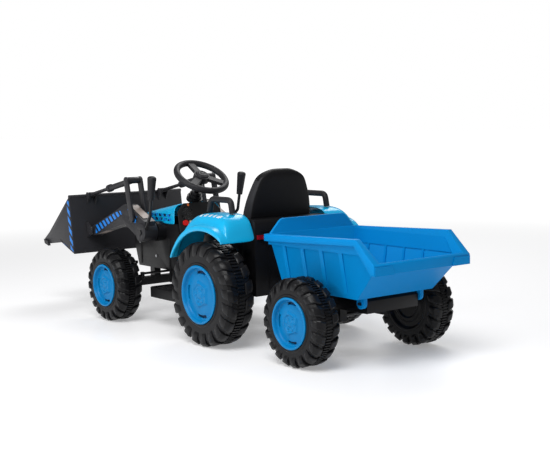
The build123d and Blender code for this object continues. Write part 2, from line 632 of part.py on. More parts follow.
with BuildPart() as hitch_bracket:
    for low in (HITCH_Z - 16, HITCH_Z + 10):
        block((-16, REAR_FACE_Y, low), (16, HITCH_Y, low + 6))
        upright_rod(0, HITCH_Y, 16, low, low + 6)
    block((-16, REAR_FACE_Y - 40, REAR_BELLY_Z - 4), (16, REAR_FACE_Y, REAR_BELLY_Z))
    block((-30, REAR_FACE_Y, min(HITCH_Z - 16, REAR_BELLY_Z - 4)),
          (30, REAR_FACE_Y + 6, HITCH_Z + 16))
    upright_rod(0, HITCH_Y, HITCH_PIN_R, HITCH_Z - 16, HITCH_Z + 16)
save(hitch_bracket, "hitch_bracket")

with BuildPart() as body_screws:
    for sign in (1, -1):
        for y, z in ((FRONT_Y - 65, 240), (FRONT_Y + 35, 200), (FRONT_Y + 145, 230)):
            cross_rod(y, z, 4, min(sign * BODY_HALF, sign * (BODY_HALF + 2)),
                      max(sign * BODY_HALF, sign * (BODY_HALF + 2)))
save(body_screws, "body_screws")

# ---------------------------------------------------------------- loader
TUBE_Y, TUBE_Z, TUBE_R = FRONT_Y - 127, 296.0, 9.0
with BuildPart() as arm:
    side_prism(
        [(HINGE_Y + 2, HINGE_Z + 16), (FRONT_Y - 85, 350), (FRONT_Y - 37, 371),
         (FRONT_Y - 11, 371), (FRONT_Y + 95, 322), (FRONT_Y + 95, 270), (FRONT_Y + 65, 260),
         (FRONT_Y - 32, 308), (HINGE_Y + 4, HINGE_Z - 16)],
        ARM_IN, ARM_OUT,
    )
    cross_rod(HINGE_Y, HINGE_Z, 16, ARM_IN, ARM_OUT)
    cross_rod(HUB_Y, HUB_Z, 30, ARM_IN - 5, ARM_OUT + 5)
    cross_rod(HINGE_Y, HINGE_Z, PIN_R + RUN, ARM_IN, ARM_OUT, mode=Mode.SUBTRACT)
    cross_rod(ELBOW_Y, ELBOW_Z, PIN_R + RUN, ARM_IN, ARM_OUT, mode=Mode.SUBTRACT)
    cross_rod(HUB_Y, HUB_Z, HUB_R + RUN, ARM_IN - 5, ARM_OUT + 5, mode=Mode.SUBTRACT)
save(arm, "loader_arm_left")
save_mirrored(arm, "loader_arm_right")

with BuildPart() as loader_cross_tube:
    cross_rod(TUBE_Y, TUBE_Z, TUBE_R, -ARM_IN, ARM_IN)
save(loader_cross_tube, "loader_cross_tube")

LEVER_FOOT = (ARM_OUT - 2, HUB_Y + 26, HUB_Z + 14)
LEVER_KNEE = (172.0, FRONT_Y + 140, 344.0)
LEVER_HEAD = (175.0, FRONT_Y + 163, 470.0)
LEVER_R, GRIP_LOW_R, GRIP_HIGH_R = 5.0, 10.0, 15.0
grip_run = Vector(*LEVER_HEAD) - Vector(*LEVER_KNEE)
GRIP_LENGTH = 76.0
grip_start = Vector(*LEVER_HEAD) - grip_run.normalized() * GRIP_LENGTH
grip_plane = Plane(origin=grip_start, z_dir=grip_run)

with BuildPart() as lever_rod:
    bent_tube([LEVER_FOOT, LEVER_KNEE, tuple(grip_start)], LEVER_R, 14)
    add(arm.part, mode=Mode.SUBTRACT)
save(both_sides(lever_rod), "lever_rods")

with BuildPart() as lever_grip:
    with BuildSketch(grip_plane):
        Circle(GRIP_LOW_R)
    with BuildSketch(grip_plane.offset(GRIP_LENGTH)):
        Circle(GRIP_HIGH_R)
    loft()
    fillet(lever_grip.edges().sort_by(Axis.Z)[-1], 8)
save(both_sides(lever_grip), "lever_grips")

fork_in = ARM_IN - GAP - FORK_PLATE
fork_out = ARM_OUT + GAP + FORK_PLATE
with BuildPart() as fork:
    for low in (fork_in, ARM_OUT + GAP):
        lean = Plane(origin=(low, ELBOW_Y, ELBOW_Z), x_dir=(0, CRANK_Y, CRANK_Z), z_dir=(1, 0, 0))
        reach = Vector(0, CRANK_Y, CRANK_Z).length
        with BuildSketch(lean):
            with Locations((reach / 2, 0)):
                SlotCenterToCenter(reach, 24)
        extrude(amount=FORK_PLATE)
    cross_rod(ELBOW_Y, ELBOW_Z, PIN_R, fork_in, fork_out)
    cross_rod(FORK_Y, FORK_Z, PIN_R, fork_in, fork_out)
save(fork, "tilt_fork_left")
save_mirrored(fork, "tilt_fork_right")

BRACKET_PIN_R = 5.0
link_run = Vector(0, BRACKET_Y - FORK_Y, BRACKET_Z - FORK_Z)
LINK_TUBE = 150.0
fork_eye = Vector(ARM_MID, FORK_Y, FORK_Z)
tube_end = fork_eye + link_run.normalized() * LINK_TUBE
collar_end = tube_end + link_run.normalized() * 16
with BuildPart() as link:
    cross_rod(FORK_Y, FORK_Z, 11, ARM_IN, ARM_OUT)
    line_rod(tuple(fork_eye), tuple(tube_end), 10)
    line_rod(tuple(tube_end), tuple(collar_end), 13)
    line_rod(tuple(collar_end), (ARM_MID, BRACKET_Y, BRACKET_Z), 6)
    cross_rod(BRACKET_Y, BRACKET_Z, 8, ARM_MID - 11, ARM_MID + 11)
    cross_rod(FORK_Y, FORK_Z, PIN_R + RUN, ARM_IN, ARM_OUT, mode=Mode.SUBTRACT)
    cross_rod(BRACKET_Y, BRACKET_Z, BRACKET_PIN_R + RUN, ARM_MID - 11, ARM_MID + 11,
              mode=Mode.SUBTRACT)
save(link, "tilt_link_left")
save_mirrored(link, "tilt_link_right")

# ---------------------------------------------------------------- bucket
BUCKET_TOP = (HINGE_Y - 41, 391.0)
BUCKET_NOSE_TOP, BUCKET_TIP = (HINGE_Y - 199, 258.0), (HINGE_Y - 241, 230.0)
BUCKET_TIP_LOW, BUCKET_KINK = (HINGE_Y - 225, 212.0), (HINGE_Y - 109, 226.0)
BUCKET_HEEL, BUCKET_BACK = (HINGE_Y - 15, 192.0), (HINGE_Y - 17, 214.0)

with BuildPart() as bucket_shell:
    outline = [BUCKET_TOP, BUCKET_NOSE_TOP, BUCKET_TIP, BUCKET_TIP_LOW, BUCKET_KINK,
               BUCKET_HEEL, BUCKET_BACK]
    side_prism(outline, -BUCKET_HALF, BUCKET_HALF)
    front = BUCKET_TIP[0] - 16
    hollow = [(BUCKET_TOP[0] - BUCKET_WALL, 420), (front, 420), (front, BUCKET_TIP[1] - 8),
              (BUCKET_TIP_LOW[0], BUCKET_TIP_LOW[1] + 6), (BUCKET_KINK[0] - 2, BUCKET_KINK[1] + 7),
              (BUCKET_HEEL[0] - 9, BUCKET_HEEL[1] + 10), (BUCKET_BACK[0] - 7, BUCKET_BACK[1] + 2)]
    side_prism(hollow, BUCKET_WALL - BUCKET_HALF, BUCKET_HALF - BUCKET_WALL, mode=Mode.SUBTRACT)
    cross_rod(BUCKET_TOP[0] - 2, BUCKET_TOP[1] - 2, 6, -BUCKET_HALF, BUCKET_HALF)
save(bucket_shell, "bucket_shell")

LUG = 8.0
with BuildPart() as bracket:
    for low in (ARM_IN - GAP - LUG, ARM_OUT + GAP):
        side_prism([(BUCKET_BACK[0] - 1, HINGE_Z - 22), (HINGE_Y, HINGE_Z - 14),
                    (HINGE_Y, HINGE_Z + 14), (BUCKET_BACK[0] - 7, HINGE_Z + 30)], low, low + LUG)
        cross_rod(HINGE_Y, HINGE_Z, 14, low, low + LUG)
    cross_rod(HINGE_Y, HINGE_Z, PIN_R, ARM_IN - GAP - LUG, ARM_OUT + GAP + LUG)
    add(bucket_shell.part, mode=Mode.SUBTRACT)
with BuildPart() as top_bracket:
    for low in (ARM_MID - 18, ARM_MID + 12.5):
        side_prism([(BUCKET_TOP[0] + 1, BRACKET_Z - 42), (BRACKET_Y + 8, BRACKET_Z - 6),
                    (BRACKET_Y + 8, BRACKET_Z + 6), (BRACKET_Y - 8, BRACKET_Z + 8),
                    (BUCKET_TOP[0] - 4, BRACKET_Z - 2)], low, low + 5.5)
    cross_rod(BRACKET_Y, BRACKET_Z, BRACKET_PIN_R, ARM_MID - 18, ARM_MID + 18)
    add(bucket_shell.part, mode=Mode.SUBTRACT)
with BuildPart() as bucket_brackets:
    for half in (bracket, top_bracket):
        add(half.part)
        mirror(half.part, about=Plane.YZ)
save(bucket_brackets, "bucket_brackets")

# ---------------------------------------------------------------- trailer
DECK_LOW, DECK_HIGH = 138.0, 180.0
DECK_HALF, DECK_FRONT_Y, DECK_BACK_Y = 92.0, 425.0, TIP_Y + 8
LUG_IN, LUG_OUT = DECK_HALF + 4, DECK_HALF + 16
with BuildPart() as trailer_chassis:
    side_prism([(DECK_FRONT_Y, DECK_LOW), (DECK_BACK_Y, DECK_LOW), (DECK_BACK_Y, TIP_Z + 4),
                (TIP_Y - 2, DECK_HIGH), (DECK_FRONT_Y, DECK_HIGH)], -DECK_HALF, DECK_HALF)
    block((WALL - DECK_HALF, DECK_FRONT_Y + WALL, DECK_LOW),
          (DECK_HALF - WALL, TRAILER_Y - 24, DECK_HIGH - WALL), mode=Mode.SUBTRACT)
    block((WALL - DECK_HALF, TRAILER_Y + 24, DECK_LOW),
          (DECK_HALF - WALL, TIP_Y - 14, DECK_HIGH - WALL), mode=Mode.SUBTRACT)
    block((-14, HITCH_Y, HITCH_Z - 8), (14, DECK_FRONT_Y, HITCH_Z + 8))
    upright_rod(0, HITCH_Y, 14, HITCH_Z - 8, HITCH_Z + 8)
    upright_rod(0, HITCH_Y, HITCH_PIN_R + RUN, HITCH_Z - 8, HITCH_Z + 8, mode=Mode.SUBTRACT)
    for sign in (1, -1):
        block((min(sign * 66, sign * 90), TRAILER_Y - 18, SMALL_R - 14),
              (max(sign * 66, sign * 90), TRAILER_Y + 18, DECK_LOW))
    cross_rod(TIP_Y, TIP_Z, TIP_R, -DECK_HALF, DECK_HALF, mode=Mode.SUBTRACT)
    cross_rod(TRAILER_Y, SMALL_R, AXLE_R, -DECK_HALF, DECK_HALF, mode=Mode.SUBTRACT)
save(trailer_chassis, "trailer_chassis")

with BuildPart() as trailer_axle:
    end = TRAILER_TRACK_X + SMALL_WIDTH / 2 - 8
    cross_rod(TRAILER_Y, SMALL_R, AXLE_R, -end, end)
save(trailer_axle, "trailer_axle")

with BuildPart() as tip_pin:
    cross_rod(TIP_Y, TIP_Z, TIP_R, -LUG_OUT - 6, LUG_OUT + 6)
save(tip_pin, "tip_pin")

TUB_LOW_Z = DECK_HIGH + 1
TUB_TOP_Z = 345.0            # the bowl's sides run up to here before the rim trims them
TUB_LOW_HALF, TUB_TOP_HALF = 136.0, 163.0
TUB_LOW_FRONT_Y, TUB_TOP_FRONT_Y = 436.0, 400.0
TUB_HEEL_Y, TAIL_SLOPE = 734.0, 0.96
RIM_FRONT_Z, RIM_BACK_Z, RIM_BACK_Y = 326.0, 340.0, 769.0
RIM_DEEP = 18.0
TAIL_TOP_Z, TAIL_LOW_Z = 280.0, 255.0
RIM_CORNER = 30.0
BOARD_LOW_HALF, BOARD_TOP_HALF, BOARD_TOP_Z, BOARD_THICK = 160.0, 116.0, 368.0, 8.0
BOARD_CORNER = 26.0


def tub_bowl(inset, low_z, high_z):
    """The tub's bowl as one closed solid, set in from its outer faces."""
    def level(z):
        up = (z - TUB_LOW_Z) / (TUB_TOP_Z - TUB_LOW_Z)
        half = TUB_LOW_HALF + (TUB_TOP_HALF - TUB_LOW_HALF) * up - inset
        front = TUB_LOW_FRONT_Y + (TUB_TOP_FRONT_Y - TUB_LOW_FRONT_Y) * up + inset
        back = TUB_HEEL_Y + (z - TUB_LOW_Z) * TAIL_SLOPE - inset
        return half, front, back

    with BuildPart() as bowl:
        faces = []
        for z in (low_z, high_z):
            half, front, back = level(z)
            with BuildSketch(Plane.XY.offset(z)) as section:
                with Locations((0, (front + back) / 2)):
                    Rectangle(2 * half, back - front)
            faces.append(section.sketch)
        loft(faces)
    return bowl


with BuildPart() as tub:
    add(tub_bowl(0, TUB_LOW_Z, TUB_TOP_Z).part)
    side_prism([(TUB_FRONT_Y - 60, 500), (TUB_FRONT_Y - 60, RIM_FRONT_Z), (RIM_BACK_Y, RIM_BACK_Z),
                (TAIL_Y - 12, TAIL_TOP_Z), (TAIL_Y + 200, TAIL_TOP_Z), (TAIL_Y + 200, 500)],
               -TUB_HALF - 20, TUB_HALF + 20, mode=Mode.SUBTRACT)
    with BuildPart(mode=Mode.PRIVATE) as rim_band:
        side_prism([(TUB_FRONT_Y, RIM_FRONT_Z), (RIM_BACK_Y, RIM_BACK_Z), (TAIL_Y, TAIL_TOP_Z),
                    (TAIL_Y, TAIL_LOW_Z), (TAIL_Y - 14, TAIL_LOW_Z),
                    (RIM_BACK_Y - 8, RIM_BACK_Z - RIM_DEEP), (TUB_FRONT_Y, RIM_FRONT_Z - RIM_DEEP)],
                   -TUB_HALF, TUB_HALF)
        fillet(rim_band.edges().filter_by(Axis.Z).filter_by(
            lambda e: e.center().Y < TUB_FRONT_Y + 1), RIM_CORNER)
    add(rim_band.part)
    for sign in (1, -1):
        low, high = sorted((sign * LUG_IN, sign * LUG_OUT))
        cross_rod(TIP_Y, TIP_Z, 14, low, high)
        block((low, TIP_Y - 14, TIP_Z), (high, TIP_Y + 14, TUB_LOW_Z + 4))
    add(tub_bowl(TUB_WALL, TUB_LOW_Z + TUB_WALL, TUB_TOP_Z + 30).part, mode=Mode.SUBTRACT)
    with BuildSketch(Plane(origin=(0, TUB_TOP_FRONT_Y + 6, 0), x_dir=(1, 0, 0),
                           z_dir=(0, -1, 0))) as board:
        with BuildLine():
            Polyline((-BOARD_LOW_HALF, RIM_FRONT_Z - 4), (BOARD_LOW_HALF, RIM_FRONT_Z - 4),
                     (BOARD_TOP_HALF, BOARD_TOP_Z), (-BOARD_TOP_HALF, BOARD_TOP_Z), close=True)
        make_face()
        fillet(board.vertices().group_by(Axis.Y)[-1], BOARD_CORNER)
    extrude(amount=BOARD_THICK)
    for sign in (1, -1):
        low, high = sorted((sign * LUG_IN, sign * LUG_OUT))
        cross_rod(TIP_Y, TIP_Z, TIP_R + RUN, low, high, mode=Mode.SUBTRACT)
save(tub, "tub")
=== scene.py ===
"""Ride-on toy tractor with a front loader and a tipping trailer, dressed round its frame.

Metres, in the frame's own axes: the tractor faces -Y, its left side is +X, and the
ground is z = 0. Sizes written in millimetres pass through mm(), and places through
at_front(), at_rear() and at_trailer(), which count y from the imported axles.
"""

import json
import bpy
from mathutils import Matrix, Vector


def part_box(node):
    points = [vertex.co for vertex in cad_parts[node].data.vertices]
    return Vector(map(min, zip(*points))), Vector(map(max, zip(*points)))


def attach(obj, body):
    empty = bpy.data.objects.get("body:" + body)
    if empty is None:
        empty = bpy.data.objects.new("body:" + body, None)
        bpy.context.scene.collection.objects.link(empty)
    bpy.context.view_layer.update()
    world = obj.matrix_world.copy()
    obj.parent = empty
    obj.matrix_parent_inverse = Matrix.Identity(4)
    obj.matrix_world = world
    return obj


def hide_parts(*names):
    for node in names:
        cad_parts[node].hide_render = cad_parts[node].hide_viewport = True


bl_info = {
    "name": "Toy Tractor Builder",
    "version": (1, 0, 0),
    "blender": (4, 5, 0),
    "location": "View3D > Sidebar > Tractor",
    "description": "Builds a ride-on toy tractor with a loader and a trailer on its frame",
    "category": "Add Mesh",
}

from math import cos, hypot, pi, radians, sin

import bmesh
import bpy
from bpy.props import FloatProperty, FloatVectorProperty, IntProperty, PointerProperty
from mathutils import Matrix, Vector

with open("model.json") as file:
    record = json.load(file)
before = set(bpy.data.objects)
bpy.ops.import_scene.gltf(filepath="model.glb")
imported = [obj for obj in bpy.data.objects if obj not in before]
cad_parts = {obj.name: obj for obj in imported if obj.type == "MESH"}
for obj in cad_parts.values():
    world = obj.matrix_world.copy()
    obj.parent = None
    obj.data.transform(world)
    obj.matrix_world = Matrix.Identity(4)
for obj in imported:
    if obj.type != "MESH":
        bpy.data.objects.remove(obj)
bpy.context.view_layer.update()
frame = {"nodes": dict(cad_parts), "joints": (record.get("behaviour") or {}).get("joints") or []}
NODES = frame["nodes"]
HANDS = (("left", 1), ("right", -1))
PLACES = ("front", "rear", "trailer")


def mm(*values):
    """Millimetres to metres, as one number or a Vector."""
    return values[0] / 1000 if len(values) == 1 else Vector(values) / 1000


def from_axle(place):
    """Places points in millimetres: x from the middle, y from an axle, z from the ground."""
    low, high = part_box(f"tyre_{place}_left")
    axle = Vector((0, (low.y + high.y) / 2, 0))

    def at(x, y, z):
        return axle + mm(x, y, z)

    return at


at_front, at_rear, at_trailer = (from_axle(place) for place in PLACES)


# ------------------------------------------------------------------ settings
def colour(name, description, default):
    return FloatVectorProperty(name=name, description=description, default=default,
                               subtype="COLOR", size=3, min=0, max=1)


class TractorColours(bpy.types.PropertyGroup):
    """Colours of the moulded pieces."""
    body: colour("Body", "Hood and fenders", (0.003, 0.35, 0.63))
    rim: colour("Rims", "Wheel rims", (0.001, 0.165, 0.40))
    tub: colour("Tub", "Trailer tub", (0.001, 0.19, 0.49))
    black: colour("Black", "Chassis, loader and tyres", (0.0045, 0.0045, 0.0052))
    stripe: colour("Stripes", "Decal stripes", (0.006, 0.17, 0.58))


class TractorSizes(bpy.types.PropertyGroup):
    """Sizes and counts of the visible detail."""
    lugs: IntProperty(name="Lugs", description="Tread lugs on each side of a tyre",
                      default=20, min=8, max=40)
    ribs: IntProperty(name="Ribs", description="Fine ribs round the middle of the tread",
                      default=88, min=20, max=160)
    lug_height: FloatProperty(name="Lug height", description="How far a lug stands out",
                              default=0.006, unit="LENGTH")
    edge: FloatProperty(name="Edge", description="Rounding of the body's edges; others are shares",
                        default=0.002, unit="LENGTH")


def colours():
    return bpy.context.scene.tractor_colours


def sizes():
    return bpy.context.scene.tractor_sizes


# ------------------------------------------------------------------ mesh helpers
SKIN_WALL = mm(3.5)


def smoothstep(low, high, value):
    t = max(0.0, min(1.0, (value - low) / (high - low)))
    return t * t * (3 - 2 * t)


def blend_points(a, b, t):
    return a + (b - a) * t


def finish_mesh(mesh, angle=34):
    mesh.shade_smooth()
    mesh.set_sharp_from_angle(angle=radians(angle))
    mesh.update()


def piece(name, verts, faces, materials, angle=34, merge=1e-6, outward=True):
    """A new object from points in metres, with clean outward faces."""
    mesh = bpy.data.meshes.new(name)
    mesh.from_pydata([tuple(v) for v in verts], [], faces)
    bm = bmesh.new()
    bm.from_mesh(mesh)
    bmesh.ops.remove_doubles(bm, verts=bm.verts, dist=merge)
    if outward:
        bmesh.ops.recalc_face_normals(bm, faces=bm.faces)
    bm.to_mesh(mesh)
    bm.free()
    for material in materials if isinstance(materials, (list, tuple)) else [materials]:
        mesh.materials.append(material)
    finish_mesh(mesh, angle)
    obj = bpy.data.objects.new(name, mesh)
    bpy.context.scene.collection.objects.link(obj)
    return obj


def bake(obj, angle=None):
    """Turns an object's modifiers into a plain mesh."""
    graph = bpy.context.evaluated_depsgraph_get()
    graph.update()
    mesh = bpy.data.meshes.new_from_object(obj.evaluated_get(graph))
    obj.modifiers.clear()
    old, obj.data = obj.data, mesh
    mesh.name = obj.name
    bpy.data.meshes.remove(old)
    if angle:
        finish_mesh(mesh, angle)
    return obj


def settle(obj, body, slot, *replaced):
    """Rides on its body and stands for the CAD nodes given; its slot is not used."""
    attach(obj, body)
    if replaced:
        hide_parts(*replaced)
    return obj


def thick_skin(obj):
    """Turns an open skin face up, gives it a wall below and smooths it."""
    bm = bmesh.new()
    bm.from_mesh(obj.data)
    top = max(bm.faces, key=lambda f: f.calc_center_median().z)
    if top.normal.z < 0:
        bmesh.ops.reverse_faces(bm, faces=bm.faces)
    bm.to_mesh(obj.data)
    bm.free()
    wall = obj.modifiers.new("Wall", "SOLIDIFY")
    wall.thickness, wall.offset = SKIN_WALL, -1
    soft = obj.modifiers.new("Soft", "SUBSURF")
    soft.levels = soft.render_levels = 2
    return bake(obj, 50)


def mould(node, name, material, share=1.0, body="tractor", slot="body_black"):
    """A copy of a CAD node with merged points and rounded edges, which stands for it."""
    mesh = NODES[node].data.copy()
    bm = bmesh.new()
    bm.from_mesh(mesh)
    bmesh.ops.remove_doubles(bm, verts=bm.verts, dist=2e-6)
    bmesh.ops.dissolve_limit(bm, angle_limit=radians(0.6), verts=bm.verts, edges=bm.edges)
    bm.to_mesh(mesh)
    bm.free()
    mesh.materials.clear()
    mesh.materials.append(material)
    obj = bpy.data.objects.new(name, mesh)
    bpy.context.scene.collection.objects.link(obj)
    bevel = obj.modifiers.new("Edges", "BEVEL")
    bevel.width = sizes().edge * share
    bevel.segments = 2
    bevel.limit_method = "ANGLE"
    bevel.angle_limit = radians(32)
    bevel.use_clamp_overlap = True
    bevel.miter_outer = "MITER_ARC"
    settle(bake(obj, 40), body, slot, node)


def loft(rings, closed=True, caps=True):
    """Vertices and faces of a skin through rings with equal numbers of points."""
    count = len(rings[0])
    verts = [p for ring in rings for p in ring]
    faces = []
    for i in range(len(rings) - 1):
        for j in range(count if closed else count - 1):
            k = (j + 1) % count
            faces.append((i * count + j, i * count + k, (i + 1) * count + k, (i + 1) * count + j))
    if caps and closed:
        faces.append(tuple(range(count)))
        faces.append(tuple((len(rings) - 1) * count + j for j in range(count)))
    return verts, faces


def slab(corners, direction, thickness):
    """A thin closed plate: flat corners in order, pushed along a direction."""
    push = Vector(direction).normalized() * thickness
    count = len(corners)
    verts = [Vector(c) for c in corners] + [Vector(c) + push for c in corners]
    faces = [tuple(range(count)), tuple(range(count, 2 * count))]
    faces += [(j, (j + 1) % count, count + (j + 1) % count, count + j) for j in range(count)]
    return verts, faces


def plate(at, side, corners, direction, thickness):
    """A slab on one side of the tractor, from corners in millimetres."""
    return slab([at(side * x, y, z) for x, y, z in corners], direction, thickness)


def side_plate(at, side, x, outline, thickness):
    """A slab standing at one x, from its (y, z) outline, pushed outwards."""
    return plate(at, side, [(x, y, z) for y, z in outline], (side, 0, 0), thickness)


def gather(parts):
    """Joins (verts, faces) lists into one."""
    verts, faces = [], []
    for part_verts, part_faces in parts:
        base = len(verts)
        verts += list(part_verts)
        faces += [tuple(base + i for i in face) for face in part_faces]
    return verts, faces


def brick(low, high):
    """A closed box as (verts, faces)."""
    (a, b, c), (d, e, f) = low, high
    verts = [Vector(p) for p in ((a, b, c), (d, b, c), (d, e, c), (a, e, c),
                                 (a, b, f), (d, b, f), (d, e, f), (a, e, f))]
    faces = [(0, 3, 2, 1), (4, 5, 6, 7), (0, 1, 5, 4), (1, 2, 6, 5), (2, 3, 7, 6), (3, 0, 4, 7)]
    return verts, faces


# ------------------------------------------------------------------ repeating trees
def add_socket(tree, name, kind, way="INPUT"):
    return tree.interface.new_socket(name, in_out=way, socket_type=kind)


def put(node, values):
    """Sets a node's inputs, given by name or number."""
    for key, value in values.items():
        node.inputs[key].default_value = value
    return node


def repeat_tree(name, around):
    """Geometry Nodes tree that repeats a piece round an axis along X, or along a line."""
    tree = bpy.data.node_groups.new(name, "GeometryNodeTree")
    for label, kind in (("Geometry", "NodeSocketGeometry"), ("Count", "NodeSocketInt"),
                        ("Centre", "NodeSocketVector"), ("Step", "NodeSocketVector"),
                        ("Material", "NodeSocketMaterial")):
        add_socket(tree, label, kind)
    add_socket(tree, "Geometry", "NodeSocketGeometry", "OUTPUT")
    node, link = tree.nodes.new, tree.links.new
    source, result = node("NodeGroupInput"), node("NodeGroupOutput")
    points, index = node("GeometryNodePoints"), node("GeometryNodeInputIndex")
    copies, real = node("GeometryNodeInstanceOnPoints"), node("GeometryNodeRealizeInstances")
    paint = node("GeometryNodeSetMaterial")
    link(source.outputs["Count"], points.inputs["Count"])
    link(points.outputs[0], copies.inputs["Points"])
    if around:
        back, to_middle, from_middle = (node("ShaderNodeVectorMath"), node("GeometryNodeTransform"),
                                        node("GeometryNodeTransform"))
        back.operation = "SCALE"
        put(back, {"Scale": -1})
        part, turn = node("ShaderNodeMath"), node("ShaderNodeMath")
        part.operation, turn.operation = "DIVIDE", "MULTIPLY"
        put(turn, {1: 2 * pi})
        angles, rotation = node("ShaderNodeCombineXYZ"), node("FunctionNodeEulerToRotation")
        link(source.outputs["Centre"], back.inputs[0])
        link(source.outputs["Geometry"], to_middle.inputs["Geometry"])
        link(back.outputs[0], to_middle.inputs["Translation"])
        link(index.outputs[0], part.inputs[0])
        link(source.outputs["Count"], part.inputs[1])
        link(part.outputs[0], turn.inputs[0])
        link(turn.outputs[0], angles.inputs["X"])
        link(angles.outputs[0], rotation.inputs[0])
        link(rotation.outputs[0], copies.inputs["Rotation"])
        link(to_middle.outputs[0], copies.inputs["Instance"])
        link(copies.outputs[0], from_middle.inputs["Geometry"])
        link(source.outputs["Centre"], from_middle.inputs["Translation"])
        link(from_middle.outputs[0], real.inputs[0])
    else:
        place = node("ShaderNodeVectorMath")
        place.operation = "SCALE"
        link(source.outputs["Step"], place.inputs[0])
        link(index.outputs[0], place.inputs["Scale"])
        link(place.outputs[0], points.inputs["Position"])
        link(source.outputs["Geometry"], copies.inputs["Instance"])
        link(copies.outputs[0], real.inputs[0])
    link(real.outputs[0], paint.inputs["Geometry"])
    link(source.outputs["Material"], paint.inputs["Material"])
    link(paint.outputs[0], result.inputs[0])
    return tree


def repeated(obj, around, count, material, centre=(0, 0, 0), step=(0, 0, 0)):
    """Repeats an object's mesh with one of the trees, and bakes the result."""
    name = "Repeat Round" if around else "Repeat Along"
    tree = bpy.data.node_groups.get(name) or repeat_tree(name, around)
    modifier = obj.modifiers.new(name, "NODES")
    modifier.node_group = tree
    values = {"Count": count, "Centre": centre, "Step": step, "Material": material}
    for item in tree.interface.items_tree:
        if item.item_type == "SOCKET" and item.in_out == "INPUT" and item.name in values:
            modifier[item.identifier] = values[item.name]
    return bake(obj, 34)


# ------------------------------------------------------------------ finishes
MARK_CLOSENESS = (60, 9, 140)   # handling marks to a metre, so they run lengthwise
GRAIN_DEPTH = 0.0006


def new_material(name):
    """A fresh material with its node tree and its shader."""
    material = bpy.data.materials.new(name)
    material.use_nodes = True
    return material, material.node_tree, material.node_tree.nodes["Principled BSDF"]


def moulded_group():
    """Shader group for moulded plastic: a soft tone change, fine grain and handling marks."""
    found = bpy.data.node_groups.get("Moulded Plastic")
    if found:
        return found
    group = bpy.data.node_groups.new("Moulded Plastic", "ShaderNodeTree")
    for label, kind in (("Vector", "NodeSocketVector"), ("Color", "NodeSocketColor"),
                        ("Tone", "NodeSocketFloat"), ("Grain Scale", "NodeSocketFloat"),
                        ("Roughness", "NodeSocketFloat"), ("Marks", "NodeSocketFloat")):
        add_socket(group, label, kind)
    for label, kind in (("Color", "NodeSocketColor"), ("Roughness", "NodeSocketFloat"),
                        ("Height", "NodeSocketFloat")):
        add_socket(group, label, kind, "OUTPUT")
    node, link = group.nodes.new, group.links.new
    source, result = node("NodeGroupInput"), node("NodeGroupOutput")

    cloud = put(node("ShaderNodeTexNoise"), {"Scale": 9, "Detail": 3})
    link(source.outputs["Vector"], cloud.inputs["Vector"])
    shift = put(node("ShaderNodeMath"), {1: 0.5})
    shift.operation = "SUBTRACT"
    link(cloud.outputs["Fac"], shift.inputs[0])
    amount = put(node("ShaderNodeMath"), {2: 1.0})
    amount.operation = "MULTIPLY_ADD"
    link(shift.outputs[0], amount.inputs[0])
    link(source.outputs["Tone"], amount.inputs[1])
    tone = node("ShaderNodeVectorMath")
    tone.operation = "SCALE"
    link(source.outputs["Color"], tone.inputs[0])
    link(amount.outputs[0], tone.inputs["Scale"])
    link(tone.outputs[0], result.inputs["Color"])

    grain = put(node("ShaderNodeTexNoise"), {"Detail": 2})
    link(source.outputs["Vector"], grain.inputs["Vector"])
    link(source.outputs["Grain Scale"], grain.inputs["Scale"])
    link(grain.outputs["Fac"], result.inputs["Height"])

    stretch = put(node("ShaderNodeVectorMath"), {1: MARK_CLOSENESS})
    stretch.operation = "MULTIPLY"
    link(source.outputs["Vector"], stretch.inputs[0])
    streak = put(node("ShaderNodeTexNoise"), {"Scale": 1, "Detail": 4})
    link(stretch.outputs[0], streak.inputs["Vector"])
    rough = node("ShaderNodeMath")
    rough.operation = "MULTIPLY_ADD"
    link(streak.outputs["Fac"], rough.inputs[0])
    link(source.outputs["Marks"], rough.inputs[1])
    link(source.outputs["Roughness"], rough.inputs[2])
    link(rough.outputs[0], result.inputs["Roughness"])
    return group


def plastic(name, tint, roughness, tone=0.1, grain=900, bump=0.05, marks=0.06, coat=0.0,
            metallic=0.0, specular=0.3, stripes=None):
    """A moulded or painted finish; stripes is (second tint, scale, direction, share)."""
    name = f"{name}_finish"
    material = bpy.data.materials.get(name)
    if material:
        return material
    material, tree, shader = new_material(name)
    node, link = tree.nodes.new, tree.links.new
    place, finish = node("ShaderNodeTexCoord"), node("ShaderNodeGroup")
    finish.node_tree = moulded_group()
    put(finish, {"Color": (*tint, 1), "Tone": tone, "Grain Scale": grain,
                 "Roughness": roughness - marks / 2, "Marks": marks})
    link(place.outputs["Object"], finish.inputs["Vector"])
    if stripes:
        second, scale, direction, share = stripes
        along, wave = node("ShaderNodeVectorMath"), node("ShaderNodeMath")
        along.operation = "DOT_PRODUCT"
        put(along, {1: tuple(Vector(direction).normalized() * scale)})
        link(place.outputs["Object"], along.inputs[0])
        wave.operation = "FRACT"
        link(along.outputs["Value"], wave.inputs[0])
        mask = put(node("ShaderNodeMath"), {1: share})
        mask.operation = "LESS_THAN"
        link(wave.outputs[0], mask.inputs[0])
        mix = node("ShaderNodeMix")
        mix.data_type = "RGBA"
        put(mix, {"A": (*tint, 1), "B": (*second, 1)})
        link(mask.outputs[0], mix.inputs["Factor"])
        link(mix.outputs["Result"], finish.inputs["Color"])
    lift = put(node("ShaderNodeBump"), {"Strength": bump, "Distance": GRAIN_DEPTH})
    link(finish.outputs["Height"], lift.inputs["Height"])
    link(finish.outputs["Color"], shader.inputs["Base Color"])
    link(finish.outputs["Roughness"], shader.inputs["Roughness"])
    link(lift.outputs[0], shader.inputs["Normal"])
    put(shader, {"Metallic": metallic, "Specular IOR Level": specular, "Coat Weight": coat,
                 "Coat Roughness": 0.08})
    return material


